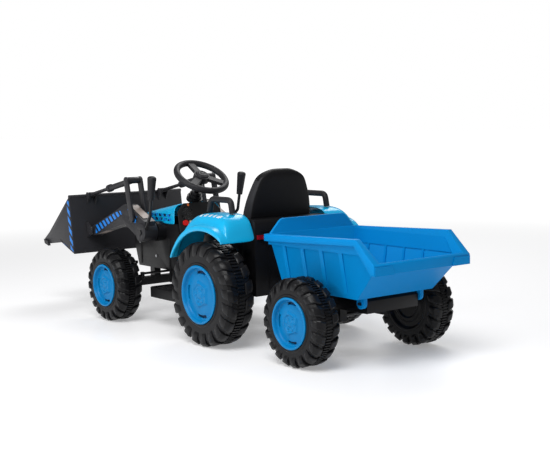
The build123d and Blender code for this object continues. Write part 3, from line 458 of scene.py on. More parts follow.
def black_tint(share=1.0):
    return tuple(c * share for c in colours().black)


def gloss_blue():
    return plastic("gloss_blue", colours().body, 0.25, tone=0.05, grain=500, bump=0.02,
                   specular=0.3, coat=0.1)


def rim_blue():
    return plastic("rim_blue", colours().rim, 0.36, tone=0.06, grain=600, bump=0.03,
                   specular=0.14)


def tub_blue():
    return plastic("tub_blue", colours().tub, 0.38, tone=0.07, grain=700, bump=0.05,
                   specular=0.05)


def tyre_black():
    return plastic("tyre_black", black_tint(1.3), 0.34, tone=0.25, grain=450, bump=0.06, marks=0.14,
                   specular=0.17)


def body_black():
    return plastic("body_black", black_tint(1.1), 0.38, tone=0.2, grain=1100, bump=0.08, marks=0.1,
                   specular=0.16)


def satin_black():
    return plastic("satin_black", black_tint(4.0), 0.40, tone=0.15, grain=1200, bump=0.10, marks=0.12)


# Painted shade: rim blue darkened for the faces in the rim's slots, where shade falls.
def slot_painted_shade():
    return plastic("slot_painted_shade", (0.001, 0.02, 0.06), 0.6, grain=600)


def grip_black():
    return plastic("grip_black", black_tint(3.2), 0.5, tone=0.15, grain=1500, bump=0.22, specular=0.2)


def seat_black():
    return plastic("seat_black", black_tint(0.9), 0.5, tone=0.2, grain=1400, bump=0.2, specular=0.14)


def seat_band():
    return plastic("seat_band", black_tint(3.4), 0.62, tone=0.3, grain=2400, bump=0.45, specular=0.25)


def dash_grey():
    return plastic("dash_grey", (0.016, 0.0155, 0.016), 0.5, tone=0.1, grain=1300, bump=0.15,
                   specular=0.2)


def painted_steel():
    return plastic("painted_steel", black_tint(1.4), 0.3, tone=0.1, grain=300, bump=0.03, coat=0.1)


def bright_steel():
    return plastic("bright_steel", (0.52, 0.53, 0.55), 0.3, tone=0.1, grain=200, bump=0.02,
                   metallic=1.0)


# Painted highlight: pale tan strips stand in for light caught on the loader arms' glossy edges.
def painted_highlight_strip():
    return plastic("painted_highlight_strip", (0.26, 0.215, 0.19), 0.42, tone=0.1, grain=900)


def stripe_blue():
    return plastic("stripe_blue", colours().stripe, 0.35, grain=500, bump=0.01,
                   stripes=((0.002, 0.003, 0.006), 46, (0, 1, 1.1), 0.42))


def stripe_pale():
    return plastic("stripe_pale", (0.55, 0.62, 0.68), 0.35, grain=500, bump=0.01)


def lamp_red():
    return plastic("lamp_red", (0.24, 0.003, 0.010), 0.22, grain=400, bump=0.02, coat=0.4)


def button_red():
    return plastic("button_red", (0.62, 0.010, 0.008), 0.28, grain=400, bump=0.02, coat=0.4)


def amber():
    return plastic("lamp_amber", (0.75, 0.16, 0.03), 0.25, grain=400, bump=0.02, coat=0.5)


def off_white():
    return plastic("rocker_white", (0.62, 0.56, 0.42), 0.35, grain=600, bump=0.03)


def gauge_face():
    return plastic("gauge_face", (0.012, 0.013, 0.015), 0.45, grain=700, specular=0.1)


def battery_grey():
    return plastic("battery_grey", (0.07, 0.07, 0.075), 0.55, grain=800)


def clear_lens():
    material = bpy.data.materials.get("clear_lens_finish")
    if material:
        return material
    material, tree, shader = new_material("clear_lens_finish")
    node = tree.nodes.new
    place, ripple, lift = (node("ShaderNodeTexCoord"), node("ShaderNodeTexNoise"),
                           node("ShaderNodeBump"))
    put(ripple, {"Scale": 300})
    put(lift, {"Strength": 0.03})
    tree.links.new(place.outputs["Object"], ripple.inputs["Vector"])
    tree.links.new(ripple.outputs["Fac"], lift.inputs["Height"])
    tree.links.new(lift.outputs[0], shader.inputs["Normal"])
    put(shader, {"Base Color": (0.9, 0.92, 0.95, 1), "Roughness": 0.04,
                 "Specular IOR Level": 0.2, "Transmission Weight": 1.0})
    return material


FLOOR_REACH, FLOOR_FADE = 60, (1.3, 4.5)    # metres from the middle


def floor_white():
    """Pale satin floor that brightens away from the middle into the pale surroundings."""
    material, tree, shader = new_material("floor_white_finish")
    node, link = tree.nodes.new, tree.links.new
    place, away = node("ShaderNodeTexCoord"), node("ShaderNodeVectorMath")
    fade = node("ShaderNodeMapRange")
    away.operation = "LENGTH"
    fade.interpolation_type = "SMOOTHSTEP"
    put(fade, {"From Min": FLOOR_FADE[0], "From Max": FLOOR_FADE[1]})
    link(place.outputs["Object"], away.inputs[0])
    link(away.outputs["Value"], fade.inputs["Value"])
    for socket, near, far in (("Base Color", 0.80, 0.0), ("Emission Color", 0.27, 1.0)):
        mix = node("ShaderNodeMix")
        mix.data_type = "RGBA"
        put(mix, {"A": (near, near, near * 1.01, 1), "B": (far, far, far, 1)})
        link(fade.outputs["Result"], mix.inputs["Factor"])
        link(mix.outputs["Result"], shader.inputs[socket])
    put(shader, {"Emission Strength": 1.0, "Roughness": 0.3, "Specular IOR Level": 0.35})
    return material


def paint_node(name, material):
    mesh = NODES[name].data
    mesh.materials.clear()
    mesh.materials.append(material)


# ------------------------------------------------------------------ wheels
def wheel_facts(place, hand):
    """Centre, outer radius, half width and rim radius of a wheel, from its CAD tyre."""
    low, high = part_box(f"tyre_{place}_{hand}")
    middle = (low + high) / 2
    radius, half = (high.z - low.z) / 2, (high.x - low.x) / 2
    rim_low, rim_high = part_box(f"rim_{place}_{hand}")
    return middle, radius, half, (rim_high.z - rim_low.z) / 2


def spun(profile, middle, side, segments):
    """Rings of points from an (x, r) profile turned about the wheel's axle."""
    rings = []
    for step in range(segments):
        angle = 2 * pi * step / segments
        rings.append([Vector((middle.x + side * x, middle.y + r * cos(angle),
                              middle.z + r * sin(angle))) for x, r in profile])
    rings.append(rings[0])
    return rings


LUG_SECTION = ((-1, -0.25), (-0.94, 0.72), (-0.72, 1.0), (0.72, 1.0), (0.94, 0.72), (1, -0.25))
TYRE_STEPS, RIM_STEPS, CAP_STEPS = 96, 150, 64


def tread_lug(middle, side, half, radius, rim, height, count, flank):
    """One rounded lug from the middle band, over the shoulder and down the sidewall."""
    base = radius - height
    pitch = 2 * pi / count
    wall = base - rim
    # Across, out, the way it lifts (across and out), and the share of its height.
    path = [(0.30 * half, base, 0.0, 1.0, 0.45), (0.36 * half, base, 0.0, 1.0, 0.95),
            (0.62 * half, base, 0.05, 1.0, 1.0), (half - mm(11), base - mm(0.6), 0.25, 0.97, 1.0),
            (half - mm(4), base - mm(6), 0.75, 0.66, 0.95),
            (half - mm(0.6), base - 0.30 * wall, 1.0, 0.1, 0.6),
            (half - mm(0.4), base - 0.46 * wall, 1.0, 0.0, 0.45),
            (half - mm(0.4), base - 0.56 * wall, 1.0, 0.0, 0.08)]
    rings = []
    for i, (x, r, nx, nr, share) in enumerate(path):
        t = i / (len(path) - 1)
        lean = pitch * (0.55 * t + (0.5 if flank < 0 else 0.0))
        wide = pitch * (0.36 - 0.10 * max(0.0, t - 0.5) * 2)
        lift = height * share
        ring = []
        for across, up in LUG_SECTION:
            angle = lean + wide * across
            px, pr = x + nx * lift * up, min(r + nr * lift * up, radius)
            ring.append(Vector((middle.x + side * flank * px, middle.y + pr * cos(angle),
                                middle.z + pr * sin(angle))))
        rings.append(ring)
    return loft(rings)


def rim_depth(r, angle, rim):
    """How far the rim's face stands from the tyre's side, and whether it is a slot, whose face takes
    painted shade.
    """
    share = r / rim
    depth = mm(5.5) - mm(1.5) * smoothstep(0.97, 1.0, share)
    depth -= mm(14) * (1 - smoothstep(0.86, 0.92, share))
    depth += mm(3) * (1 - smoothstep(0.45, 0.82, share))
    sector = 2 * pi / 5
    turn = (angle + sector / 2) % sector - sector / 2
    edge = 0.47 * cos(sector / 2) / cos(turn)
    depth += mm(5) * (1 - smoothstep(edge - 0.03, edge + 0.03, share))
    depth -= mm(2.5) * (1 - smoothstep(0.32, 0.35, share))
    depth += mm(2.5) * (1 - smoothstep(0.11, 0.14, share))
    for k in range(6):
        bolt = 2 * pi * k / 6
        away = hypot(share * cos(angle) - 0.24 * cos(bolt), share * sin(angle) - 0.24 * sin(bolt))
        depth += mm(2.8) * (1 - smoothstep(0.03, 0.06, away))
    quarter = pi / 2
    swing = abs((angle + quarter / 2) % quarter - quarter / 2)
    # Faces in the slots take the dark blue painted shade.
    slot = 0.72 < share < 0.80 and swing < radians(17)
    well = (1 - smoothstep(0.04, 0.055, abs(share - 0.76))) * (
        1 - smoothstep(radians(16), radians(19), swing))
    return depth - mm(7) * well, slot


def rim_face(name, middle, side, half, rim):
    """The dished rim: flange, five-sided hub, bolts and slots with painted shade on their faces,
    closed behind.
    """
    segments = RIM_STEPS
    shares = [0.06, 0.10, 0.125, 0.15, 0.18, 0.21, 0.24, 0.27, 0.30, 0.33, 0.35, 0.37, 0.40, 0.43,
              0.46, 0.49, 0.52, 0.57, 0.63, 0.69, 0.705, 0.72, 0.76, 0.80, 0.815, 0.83, 0.85, 0.87,
              0.89, 0.91, 0.93, 0.96, 0.98, 1.0]
    verts, faces, slot_shade_faces = [], [], []
    for share in shares:
        for j in range(segments):
            angle = 2 * pi * j / segments
            depth, _ = rim_depth(share * rim, angle, rim)
            verts.append(Vector((middle.x + side * (half + depth), middle.y + share * rim * cos(angle),
                                 middle.z + share * rim * sin(angle))))
    for i in range(len(shares) - 1):
        for j in range(segments):
            k = (j + 1) % segments
            faces.append((i * segments + j, i * segments + k, (i + 1) * segments + k,
                          (i + 1) * segments + j))
            middle_share = (shares[i] + shares[i + 1]) / 2
            slot_shade_faces.append(rim_depth(middle_share * rim, 2 * pi * (j + 0.5) / segments, rim)[1])
    top = rim_depth(0, 0, rim)[0]
    verts.append(Vector((middle.x + side * (half + top), middle.y, middle.z)))
    hub = len(verts) - 1
    last = (len(shares) - 1) * segments
    back = len(verts)
    for j in range(segments):
        angle = 2 * pi * j / segments
        verts.append(Vector((middle.x + side * (half - mm(30)), middle.y + 0.9 * rim * cos(angle),
                             middle.z + 0.9 * rim * sin(angle))))
    for j in range(segments):
        k = (j + 1) % segments
        faces.append((hub, j, k))
        faces.append((last + j, last + k, back + k, back + j))
        slot_shade_faces += [False, False]
    faces.append(tuple(back + j for j in range(segments)))
    slot_shade_faces.append(False)
    # The slots' faces take the dark painted shade; the rest is rim blue.
    obj = piece(name, verts, faces, [rim_blue(), slot_painted_shade()], angle=50)
    for polygon, is_shaded_slot in zip(obj.data.polygons, slot_shade_faces):
        polygon.material_index = 1 if is_shaded_slot else 0
    return obj


class TRACTOR_OT_wheels(bpy.types.Operator):
    """Builds the lugged tyres and the dished rims"""
    bl_idname = "tractor.wheels"
    bl_label = "Wheels"

    def execute(self, context):
        lugs, ribs, height = sizes().lugs, sizes().ribs, sizes().lug_height
        for place in PLACES:
            for hand, side in HANDS:
                middle, radius, half, rim = wheel_facts(place, hand)
                body, node = f"wheel_{place}_{hand}", f"tyre_{place}_{hand}"
                base, seat = radius - height, rim - mm(1)
                bore = mm(6.5)
                side_profile = [(half * 0.35, base), (half - mm(12), base - mm(0.8)),
                                (half - mm(5), base - mm(6)), (half - mm(1), base - mm(15)),
                                (half, base - mm(22)), (half - mm(0.5), seat + mm(10)),
                                (half + mm(1.5), seat + mm(7)), (half + mm(1.5), seat + mm(3)),
                                (half - mm(1), seat)]
                profile = ([(-half + mm(6), bore), (-half + mm(6), radius * 0.30),
                            (-half + mm(2), radius * 0.34), (-half + mm(2), radius * 0.40),
                            (-half + mm(6), radius * 0.44), (-half + mm(6), seat - mm(4))]
                           + [(-x, r) for x, r in reversed(side_profile)] + side_profile
                           + [(half - mm(5), seat - mm(1)), (half - mm(31), rim * 0.88),
                              (half - mm(31), bore)])
                rings = spun(profile, middle, side, TYRE_STEPS)
                carcass = piece(f"{node}_carcass", *loft(rings, caps=False), tyre_black(), angle=28)
                settle(carcass, body, "tyre_black", node)
                pair = gather([tread_lug(middle, side, half, radius, rim, height, lugs, flank)
                               for flank in (1, -1)])
                tread = piece(f"{node}_lugs", *pair, tyre_black(), angle=50)
                centre = (0, middle.y, middle.z)
                settle(repeated(tread, True, lugs, tyre_black(), centre=centre), body, "tyre_black")
                step, reach = 2 * pi / ribs, half * 0.28
                rib = []
                for x, width, top in ((-reach, 0.5, 0), (-reach + mm(2), 0.56, 1),
                                      (reach - mm(2), 0.56, 1), (reach, 0.5, 0)):
                    rib.append([Vector((middle.x + x, middle.y + r * cos(a), middle.z + r * sin(a)))
                                for r, a in ((base - mm(1), -step * width / 2),
                                             (base + top * height * 0.7, -step * width / 3),
                                             (base + top * height * 0.7, step * width / 3),
                                             (base - mm(1), step * width / 2))])
                band = piece(f"{node}_ribs", *loft(rib), tyre_black(), angle=40)
                settle(repeated(band, True, ribs, tyre_black(), centre=centre), body, "tyre_black")
                settle(rim_face(f"rim_{place}_{hand}_face", middle, side, half, rim), body,
                       "rim_blue", f"rim_{place}_{hand}")
        return {"FINISHED"}


# ------------------------------------------------------------------ hood and fenders
# Angle at the wheel's middle, then y and z of the fender's top line there.
FENDER_LINE = (
    (150.5, -168, 244), (146, -167, 262), (139, -160, 286), (131, -147, 314), (122, -123, 345),
    (112, -95, 364), (103, -66, 375), (90, -12, 376), (78, 28, 376), (70, 48, 373),
    (65, 67, 366), (61, 81, 351), (58.5, 89, 334), (57, 95, 317), (56.2, 102, 300),
)
# Distance from the body's middle, and how far down from the top line to the arch's edge.
FENDER_CUT = ((140, 0), (188, 0), (205, 0.02), (221, 0.12), (231, 0.30), (235, 0.47), (236.5, 0.60),
              (239, 0.665), (251, 0.70), (259, 0.745), (261.5, 0.82), (261.5, 1.0))
ARCH_GAPS = (34, 31)            # from the tyre to the lip, and to the lip's inner edge
MARK_IN, MARK_OUT = 209, 224    # the plain marks along the shoulder, as distances from the middle
MARK_START, MARK_RUN, MARK_PITCH, MARK_LONG = -59, 104, 22, 13


def fender_mesh(hand, side):
    """A flared fender: flat top, wide shoulder and a raised band round the arch."""
    wheel, radius = wheel_facts("rear", hand)[:2]
    rings, hub = [], Vector((0, 0, wheel.z * 1000))
    arch = [radius * 1000 + gap for gap in ARCH_GAPS]
    for angle, y, z in FENDER_LINE:
        a = radians(angle)
        top = Vector((0, y, z))
        reach = (top - hub).length
        lip, edge = (hub + Vector((0, cos(a), sin(a))) * min(r, reach - 0.3) for r in arch)
        cuts = [(x, blend_points(top, lip, down)) for x, down in FENDER_CUT]
        cuts += [(260, edge), (252, edge)]
        rings.append([at_rear(side * x, p.y, p.z) for x, p in cuts])
    verts, faces = loft(rings, closed=False, caps=False)
    obj = piece(f"fender_{hand}_skin", verts, faces, gloss_blue())
    thick_skin(obj)
    obj.data.materials.append(stripe_pale())
    for polygon in obj.data.polygons:
        x, y, _ = (polygon.center - at_rear(0, MARK_START, 0)) * 1000
        across = MARK_IN < abs(x) < MARK_OUT and polygon.normal.z > 0.3
        if across and 0 < y < MARK_RUN and y % MARK_PITCH < MARK_LONG:
            polygon.material_index = 1
    return obj


class TRACTOR_OT_fenders(bpy.types.Operator):
    """Builds the fenders with their plain stripes, and the grab handles"""
    bl_idname = "tractor.fenders"
    bl_label = "Fenders"

    def execute(self, context):
        for hand, side in HANDS:
            settle(fender_mesh(hand, side), "tractor", "gloss_blue", f"fender_{hand}")
        mould("fender_handles", "grab_handles", grip_black(), 0.5)
        return {"FINISHED"}


HOOD_LINE = ((-101, 324), (-98, 330), (-80, 335), (5, 352), (50, 360), (95, 368),
             (130, 375), (152, 378))


class TRACTOR_OT_hood(bpy.types.Operator):
    """Builds the rounded hood with its side stripes"""
    bl_idname = "tractor.hood"
    bl_label = "Hood"

    def execute(self, context):
        rings = []
        for y, z in HOOD_LINE:
            half = [(90, 311), (90, 318), (90, max(z - 26, 321)), (86, max(z - 12, 323)),
                    (74, z - 3), (56, z), (30, z + 0.6), (16, z + 0.8)]
            across = half + [(-x, h) for x, h in reversed(half)]
            rings.append([at_front(x, y, h) for x, h in across])
        verts, faces = loft(rings, closed=False, caps=False)
        count = len(rings[0])
        faces.append(tuple(range(count)))
        obj = piece("hood_skin", verts, faces, gloss_blue())
        settle(thick_skin(obj), "tractor", "gloss_blue", "hood")
        bars = []
        for side in (1, -1):
            for k, (low, high) in enumerate(((334, 343), (321, 330))):
                for step in range(5):
                    y = 5 + 26 * step + 4 * k
                    outline = ((y, low), (y + 18, low), (y + 22, high), (y + 4, high))
                    bars.append(side_plate(at_front, side, 89.6, outline, mm(1)))
        settle(piece("hood_stripes", *gather(bars), stripe_blue()), "tractor", "gloss_blue")
        paint_node("grille", body_black())
        paint_node("headlights", clear_lens())
        return {"FINISHED"}


# ------------------------------------------------------------------ body, dash, steering
class TRACTOR_OT_body(bpy.types.Operator):
    """Rounds the lower body and gives the hidden pieces their finishes"""
    bl_idname = "tractor.body"
    bl_label = "Lower body"

    def execute(self, context):
        mould("lower_body", "body_moulding", body_black())
        panels = []
        for side in (1, -1):
            panels.append(brick(at_front(side * 87.4, -65, 168), at_front(side * 89, -57, 300)))
            panels.append(brick(at_front(side * 87.4, 113, 120), at_front(side * 89, 121, 262)))
            panels.append(brick(at_front(side * 87.4, 175, 118), at_front(side * 89, 182, 250)))
        panels.append(brick(at_rear(-118, 94, 290), at_rear(118, 96.2, 296)))
        panels.append(brick(at_rear(-118, 94, 322), at_rear(118, 96.2, 328)))
        for x in (-92, 88):
            panels.append(brick(at_rear(x, 94, 160), at_rear(x + 4, 96.2, 290)))
        settle(piece("body_panel_lines", *gather(panels), body_black()), "tractor", "body_black")
        for name in ("front_axle_beam", "knuckle_left", "knuckle_right", "loader_axles", "rear_axle",
                     "hitch_bracket", "tie_rod", "trailer_axle", "tip_pin"):
            paint_node(name, painted_steel())
        paint_node("body_screws", bright_steel())
        paint_node("battery", battery_grey())
        paint_node("drive_gearboxes", body_black())
        paint_node("tail_lamps", lamp_red())
        return {"FINISHED"}


COLUMN_HUB = at_front(0, 181, 462)
STEER = next(j for j in frame["joints"] if j["name"] == "steering_turn")
COLUMN_UP = Vector(STEER["axis"]).normalized()


def on_column(x, y, z):
    """A point in the steering wheel's own frame, in millimetres, to the row frame."""
    side = Vector((1, 0, 0))
    back = COLUMN_UP.cross(side)
    return COLUMN_HUB + (side * x + back * y + COLUMN_UP * z) / 1000


class TRACTOR_OT_steering(bpy.types.Operator):
    """Finishes the steering wheel, its ringed cap, the column and the dash"""
    bl_idname = "tractor.steering"
    bl_label = "Steering and dash"

    def execute(self, context):
        paint_node("steering_wheel", grip_black())
        profile = ((0, 14.5), (6, 14.5), (8, 13.6), (10, 14.5), (13, 14.5), (15, 13.4), (19, 12.4),
                   (22, 8.5), (22, 7.6), (0, 7.6))
        rings = []
        for step in range(CAP_STEPS + 1):
            a = 2 * pi * step / CAP_STEPS
            rings.append([on_column(r * cos(a), r * sin(a), z) for r, z in profile])
        settle(piece("steering_cap_rings", *loft(rings, closed=False, caps=False), grip_black(),
                     angle=28), "steering", "grip_black", "steering_cap")
        for name, finish in (("steering_shaft", painted_steel()), ("column_boot", body_black()),
                             ("dash_panel", dash_grey()), ("gauge", gauge_face()),
                             ("gauge_lens", clear_lens()), ("dash_lamp", amber()),
                             ("power_button", button_red()), ("direction_rocker", off_white())):
            paint_node(name, finish)
        return {"FINISHED"}


# ------------------------------------------------------------------ seat and floor
class TRACTOR_OT_seat(bpy.types.Operator):
    """Builds the crowned seat back with its side bands, and the seat base"""
    bl_idname = "tractor.seat"
    bl_label = "Seat"

    def execute(self, context):
        lean = radians(7)
        up, deep = Vector((0, sin(lean), cos(lean))), Vector((0, cos(lean), -sin(lean)))
        root, rise, count = at_rear(0, -1, 300), 202.0, 48
        rings = []
        levels = [0, 0.06, 0.14, 0.24, 0.34, 0.44, 0.54, 0.63, 0.71, 0.78, 0.84, 0.89, 0.93, 0.96,
                  0.985, 1.0]
        for v in levels:
            width = 115 - 38 * smoothstep(0.30, 1.0, v) * v
            cap = max(0.0, (v - 0.80) / 0.20)
            width *= (1 - cap ** 3.2 * 0.62)
            thick = 19.5 * (1 - cap ** 4 * 0.8)
            wing = 36 * (1 - v) ** 1.3
            ring = []
            for j in range(count):
                a = 2 * pi * j / count
                c, s = cos(a), sin(a)
                x = width * abs(c) ** 0.34 * (1 if c >= 0 else -1)
                d = thick * abs(s) ** 0.5 * (1 if s >= 0 else -1)
                crown = 3.0 * (1 - (x / width) ** 2) * (1 if s >= 0 else -1.6)
                if s < 0:
                    d -= wing * abs(s) ** 0.5 * (0.55 + 0.45 * (x / width) ** 2)
                ring.append(root + Vector((x, 0, 0)) / 1000 + up * (rise * v) / 1000
                            + deep * (20 + d * 0.92 + crown * 0.5) / 1000)
            rings.append(ring)
        obj = piece("seat_back_shell", *loft(rings), [seat_black(), seat_band()], angle=60)
        for polygon in obj.data.polygons:
            if abs(polygon.normal.x) > 0.5 and polygon.center.z < mm(470):
                polygon.material_index = 1
        soft = obj.modifiers.new("Soft", "SUBSURF")
        soft.levels = soft.render_levels = 1
        settle(bake(obj, 60), "tractor", "body_black", "seat_back")
        mould("seat_base", "seat_base_shell", seat_black(), 0.75)
        return {"FINISHED"}


class TRACTOR_OT_footboards(bpy.types.Operator):
    """Rounds the footboards and adds their raised tread and the pedal's ribs"""
    bl_idname = "tractor.footboards"
    bl_label = "Footboards"

    def execute(self, context):
        for hand, side in HANDS:
            mould(f"footboard_{hand}", f"footboard_{hand}_moulding", body_black())
            rows = []
            for row in range(4):
                x, y = 104 + 21 * row, 169 + (8 if row % 2 else 0)
                peak = [at_front(side * (x + dx), y + dy, 118)
                        for dx, dy in ((0, -6), (8, 0), (0, 6), (-8, 0))]
                middle = sum(peak, Vector()) / 4
                crest = [blend_points(middle, p, 0.55) + mm(0, 0, 2.2) for p in peak]
                rows.append(loft([peak, crest]))
            lozenge = piece(f"footboard_{hand}_tread", *gather(rows), body_black())
            count = 12 if side > 0 else 2
            settle(repeated(lozenge, False, count, body_black(), step=mm(0, 16, 0)), "tractor",
                   "body_black")
        ribs = []
        for k in range(6):
            t = (k + 0.5) / 6
            y, z = 256 - 62 * t, 131.2 + 18 * t
            ribs.append(brick(at_front(-163, y - 2, z - 1.5), at_front(-117, y + 2, z + 1.2)))
        settle(piece("pedal_ribs", *gather(ribs), grip_black()), "pedal_body", "body_black")
        paint_node("pedal", body_black())
        return {"FINISHED"}


# ------------------------------------------------------------------ loader and bucket
# Outlines of the striped panels on an arm's side, as y and z.
ARM_PANELS = (((-231, 262), (-49, 338), (-59, 350), (-85, 344), (-231, 290)),
              ((-21, 354), (-5, 358), (49, 334), (35, 312)))
# Rear and front edge (y, z) of each pale tan strip, a painted highlight where light catches the arm's
# glossy edge, and the way it faces.
ARM_HIGHLIGHT_STRIPS = (((-37, 308), (-225, 262), (0, 0.21, -1)), ((-3, 368.5), (79, 331), (0, 0.42, 1)))


class TRACTOR_OT_loader(bpy.types.Operator):
    """Builds the loader arms with their stripes and painted highlight strips, and finishes the forks,
    links and levers
    """
    bl_idname = "tractor.loader"
    bl_label = "Loader"

    def execute(self, context):
        for hand, side in HANDS:
            mould(f"loader_arm_{hand}", f"loader_arm_{hand}_moulding", satin_black(), body="loader")
            panels = [side_plate(at_front, side, 166, outline, mm(0.8)) for outline in ARM_PANELS]
            settle(piece(f"loader_arm_{hand}_panels", *gather(panels), stripe_blue()), "loader",
                   "body_black")
            # Pale tan strips on the arms' edges are painted highlights, where light catches the gloss.
            highlight_strips = [plate(at_front, side, ((132, *rear), (160, *rear), (160, *fore), (132, *fore)),
                            direction, mm(1)) for rear, fore, direction in ARM_HIGHLIGHT_STRIPS]
            settle(piece(f"loader_arm_{hand}_strips", *gather(highlight_strips), painted_highlight_strip()), "loader",
                   "body_black")
            for part, body in (("tilt_fork", "fork"), ("tilt_link", "link")):
                mould(f"{part}_{hand}", f"{part}_{hand}_moulding", satin_black(), 0.5,
                      f"{body}_{hand[0]}")
        paint_node("loader_cross_tube", painted_steel())
        paint_node("lever_rods", painted_steel())
        paint_node("lever_grips", grip_black())
        return {"FINISHED"}


BUCKET_STRIPES = (((-317, 366), (-303, 382), (-277, 200), (-297, 208)),
                  ((-305, 206), (-281, 197), (-365, 229), (-377, 236)))
BUCKET_FOOT = ((-497, 229), (-465, 222), (-462, 207), (-491, 214))


class TRACTOR_OT_bucket(bpy.types.Operator):
    """Builds the bucket with its satin back and striped side edges"""
    bl_idname = "tractor.bucket"
    bl_label = "Bucket"

    def execute(self, context):
        mould("bucket_shell", "bucket_moulding", satin_black(), 0.6, "bucket")
        stripes = [side_plate(at_front, side, 230, outline, mm(0.8))
                   for side in (1, -1) for outline in BUCKET_STRIPES]
        settle(piece("bucket_stripes", *gather(stripes), stripe_blue()), "bucket", "body_black")
        feet = [side_plate(at_front, side, 226, BUCKET_FOOT, mm(9)) for side in (1, -1)]
        settle(piece("bucket_tip_feet", *gather(feet), satin_black()), "bucket", "body_black")
        mould("bucket_brackets", "bucket_bracket_mouldings", satin_black(), 0.35, "bucket")
        return {"FINISHED"}


# ------------------------------------------------------------------ trailer
class TRACTOR_OT_trailer(bpy.types.Operator):
    """Builds the trailer tub with its ribs, and the black chassis"""
    bl_idname = "tractor.trailer"
    bl_label = "Trailer"

    def execute(self, context):
        mould("tub", "tub_moulding", tub_blue(), 1.2, "tub_body", "tub_blue")
        mould("trailer_chassis", "trailer_chassis_moulding", body_black(), 0.75, "trailer")
        for hand, side in HANDS:
            rib = plate(at_trailer, side, ((137, -138, 192), (137, -124, 192), (159.4, -124, 317),
                                           (159.4, -138, 317)), (side, 0, -0.16), mm(2.4))
            strip = piece(f"tub_ribs_{hand}", *rib, tub_blue())
            settle(repeated(strip, False, 4, tub_blue(), step=mm(0, 76, 0)), "tub_body", "tub_blue")
            rib = plate(at_trailer, side, ((132.2, -128, 190), (132.2, -120, 190), (148.6, -120, 282),
                                           (148.6, -128, 282)), (-side, 0, 0), mm(3.4))
            fin = piece(f"tub_inner_ribs_{hand}", *rib, tub_blue())
            settle(repeated(fin, False, 4, tub_blue(), step=mm(0, 72, 0)), "tub_body", "tub_blue")
            band = ((156, -196, 300), (156, 180, 300), (159.8, 164, 321), (159.8, -196, 321))
            ledge = ((148, -190, 282), (148, 194, 282), (155, 164, 321), (155, -190, 321))
            pad = ((104, 235.2, 254), (170, 235.2, 254), (170, 235.2, 276), (112, 235.2, 276))
            extras = [plate(at_trailer, side, band, (side, 0, -0.16), mm(3.6)),
                      plate(at_trailer, side, ledge, (-side, 0, 0.16), mm(2.6)),
                      plate(at_trailer, side, pad, (0, 1, 0), mm(3))]
            settle(piece(f"tub_bands_{hand}", *gather(extras), tub_blue()), "tub_body", "tub_blue")
        return {"FINISHED"}


# ------------------------------------------------------------------ stage
WORLD_SEEN, WORLD_LIGHT = 1.0, 0.26     # as the camera sees it, and as it lights the scene
LIGHT_AIM = (0, 0.1, 0.25)
# Name, place in metres, width in metres and power in watts.
LIGHTS = (("key_light", (1.7, 1.5, 2.9), 1.8, 95), ("side_light", (3.4, -0.2, 1.6), 1.6, 52),
          ("back_light", (-1.8, -1.2, 2.6), 1.8, 52))
CAMERA_PLACE = (1.92566, 2.69690, 0.62772)
CAMERA_YAW, CAMERA_PITCH, CAMERA_ROLL = radians(52.05), radians(5.44), -0.0186
CAMERA_LENS, CAMERA_SENSOR = 69.55, 36


def soft_light(name, place, size, power):
    light = bpy.data.lights.new(name, "AREA")
    light.shape, light.size, light.energy = "SQUARE", size, power
    obj = bpy.data.objects.new(name, light)
    obj.location = place
    obj.rotation_euler = (Vector(LIGHT_AIM) - Vector(place)).to_track_quat("-Z", "Y").to_euler()
    bpy.context.scene.collection.objects.link(obj)


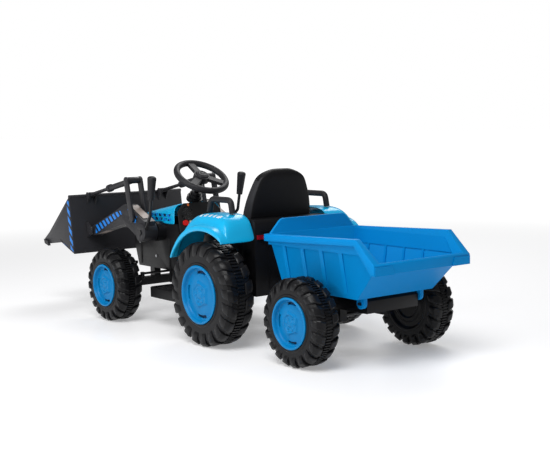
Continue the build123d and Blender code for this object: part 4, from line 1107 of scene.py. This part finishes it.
class TRACTOR_OT_stage(bpy.types.Operator):
    """Makes the pale floor, the studio lights and the camera"""
    bl_idname = "tractor.stage"
    bl_label = "Stage"

    def execute(self, context):
        scene = bpy.context.scene
        reach = FLOOR_REACH
        floor = piece("studio_floor", [(-reach, -reach, 0), (reach, -reach, 0), (reach, reach, 0),
                                       (-reach, reach, 0)], [(0, 1, 2, 3)], floor_white(),
                      outward=False)
        world = scene.world or bpy.data.worlds.new("Studio")
        scene.world = world
        world.use_nodes = True
        tree = world.node_tree
        sky, soft = tree.nodes["Background"], tree.nodes.new("ShaderNodeBackground")
        ray, mix = tree.nodes.new("ShaderNodeLightPath"), tree.nodes.new("ShaderNodeMixShader")
        for background, strength in ((sky, WORLD_SEEN), (soft, WORLD_LIGHT)):
            put(background, {"Color": (1, 1, 1, 1), "Strength": strength})
        tree.links.new(ray.outputs["Is Camera Ray"], mix.inputs[0])
        tree.links.new(soft.outputs[0], mix.inputs[1])
        tree.links.new(sky.outputs[0], mix.inputs[2])
        tree.links.new(mix.outputs[0], tree.nodes["World Output"].inputs["Surface"])
        for light in LIGHTS:
            soft_light(*light)
        scene.view_settings.view_transform = "Standard"
        yaw, pitch, roll = CAMERA_YAW, CAMERA_PITCH, CAMERA_ROLL
        ahead = Vector((-cos(yaw) * cos(pitch), -sin(yaw) * cos(pitch), -sin(pitch)))
        right = ahead.cross(Vector((0, 0, 1))).normalized()
        above = right.cross(ahead)
        right, above = (right * cos(roll) + above * sin(roll), above * cos(roll) - right * sin(roll))
        lens = bpy.data.cameras.new("studio_camera")
        lens.lens, lens.sensor_width, lens.clip_end = CAMERA_LENS, CAMERA_SENSOR, FLOOR_REACH
        camera = bpy.data.objects.new("studio_camera", lens)
        turn = Matrix((right, above, -ahead)).transposed().to_4x4()
        camera.matrix_world = Matrix.Translation(CAMERA_PLACE) @ turn
        scene.collection.objects.link(camera)
        scene.camera = camera
        return {"FINISHED"}


# ------------------------------------------------------------------ panel and start
OPERATORS = (TRACTOR_OT_stage, TRACTOR_OT_wheels, TRACTOR_OT_fenders, TRACTOR_OT_hood, TRACTOR_OT_body,
             TRACTOR_OT_steering, TRACTOR_OT_seat, TRACTOR_OT_footboards, TRACTOR_OT_loader,
             TRACTOR_OT_bucket, TRACTOR_OT_trailer)


class TRACTOR_PT_panel(bpy.types.Panel):
    """Lists the tractor's settings and pieces"""
    bl_label = "Toy Tractor"
    bl_idname = "TRACTOR_PT_panel"
    bl_space_type = "VIEW_3D"
    bl_region_type = "UI"
    bl_category = "Tractor"

    def draw(self, context):
        for group in (colours(), sizes()):
            for name in group.__annotations__:
                self.layout.prop(group, name)
        for operator in OPERATORS:
            self.layout.operator(operator.bl_idname)


CLASSES = (TractorColours, TractorSizes, *OPERATORS, TRACTOR_PT_panel)


def register():
    for item in CLASSES:
        bpy.utils.register_class(item)
    bpy.types.Scene.tractor_colours = PointerProperty(type=TractorColours)
    bpy.types.Scene.tractor_sizes = PointerProperty(type=TractorSizes)


def unregister():
    del bpy.types.Scene.tractor_colours
    del bpy.types.Scene.tractor_sizes
    for item in reversed(CLASSES):
        bpy.utils.unregister_class(item)


def main():
    register()
    for operator in OPERATORS:
        group, name = operator.bl_idname.split(".")
        getattr(getattr(bpy.ops, group), name)()


if __name__ == "__main__":
    main()
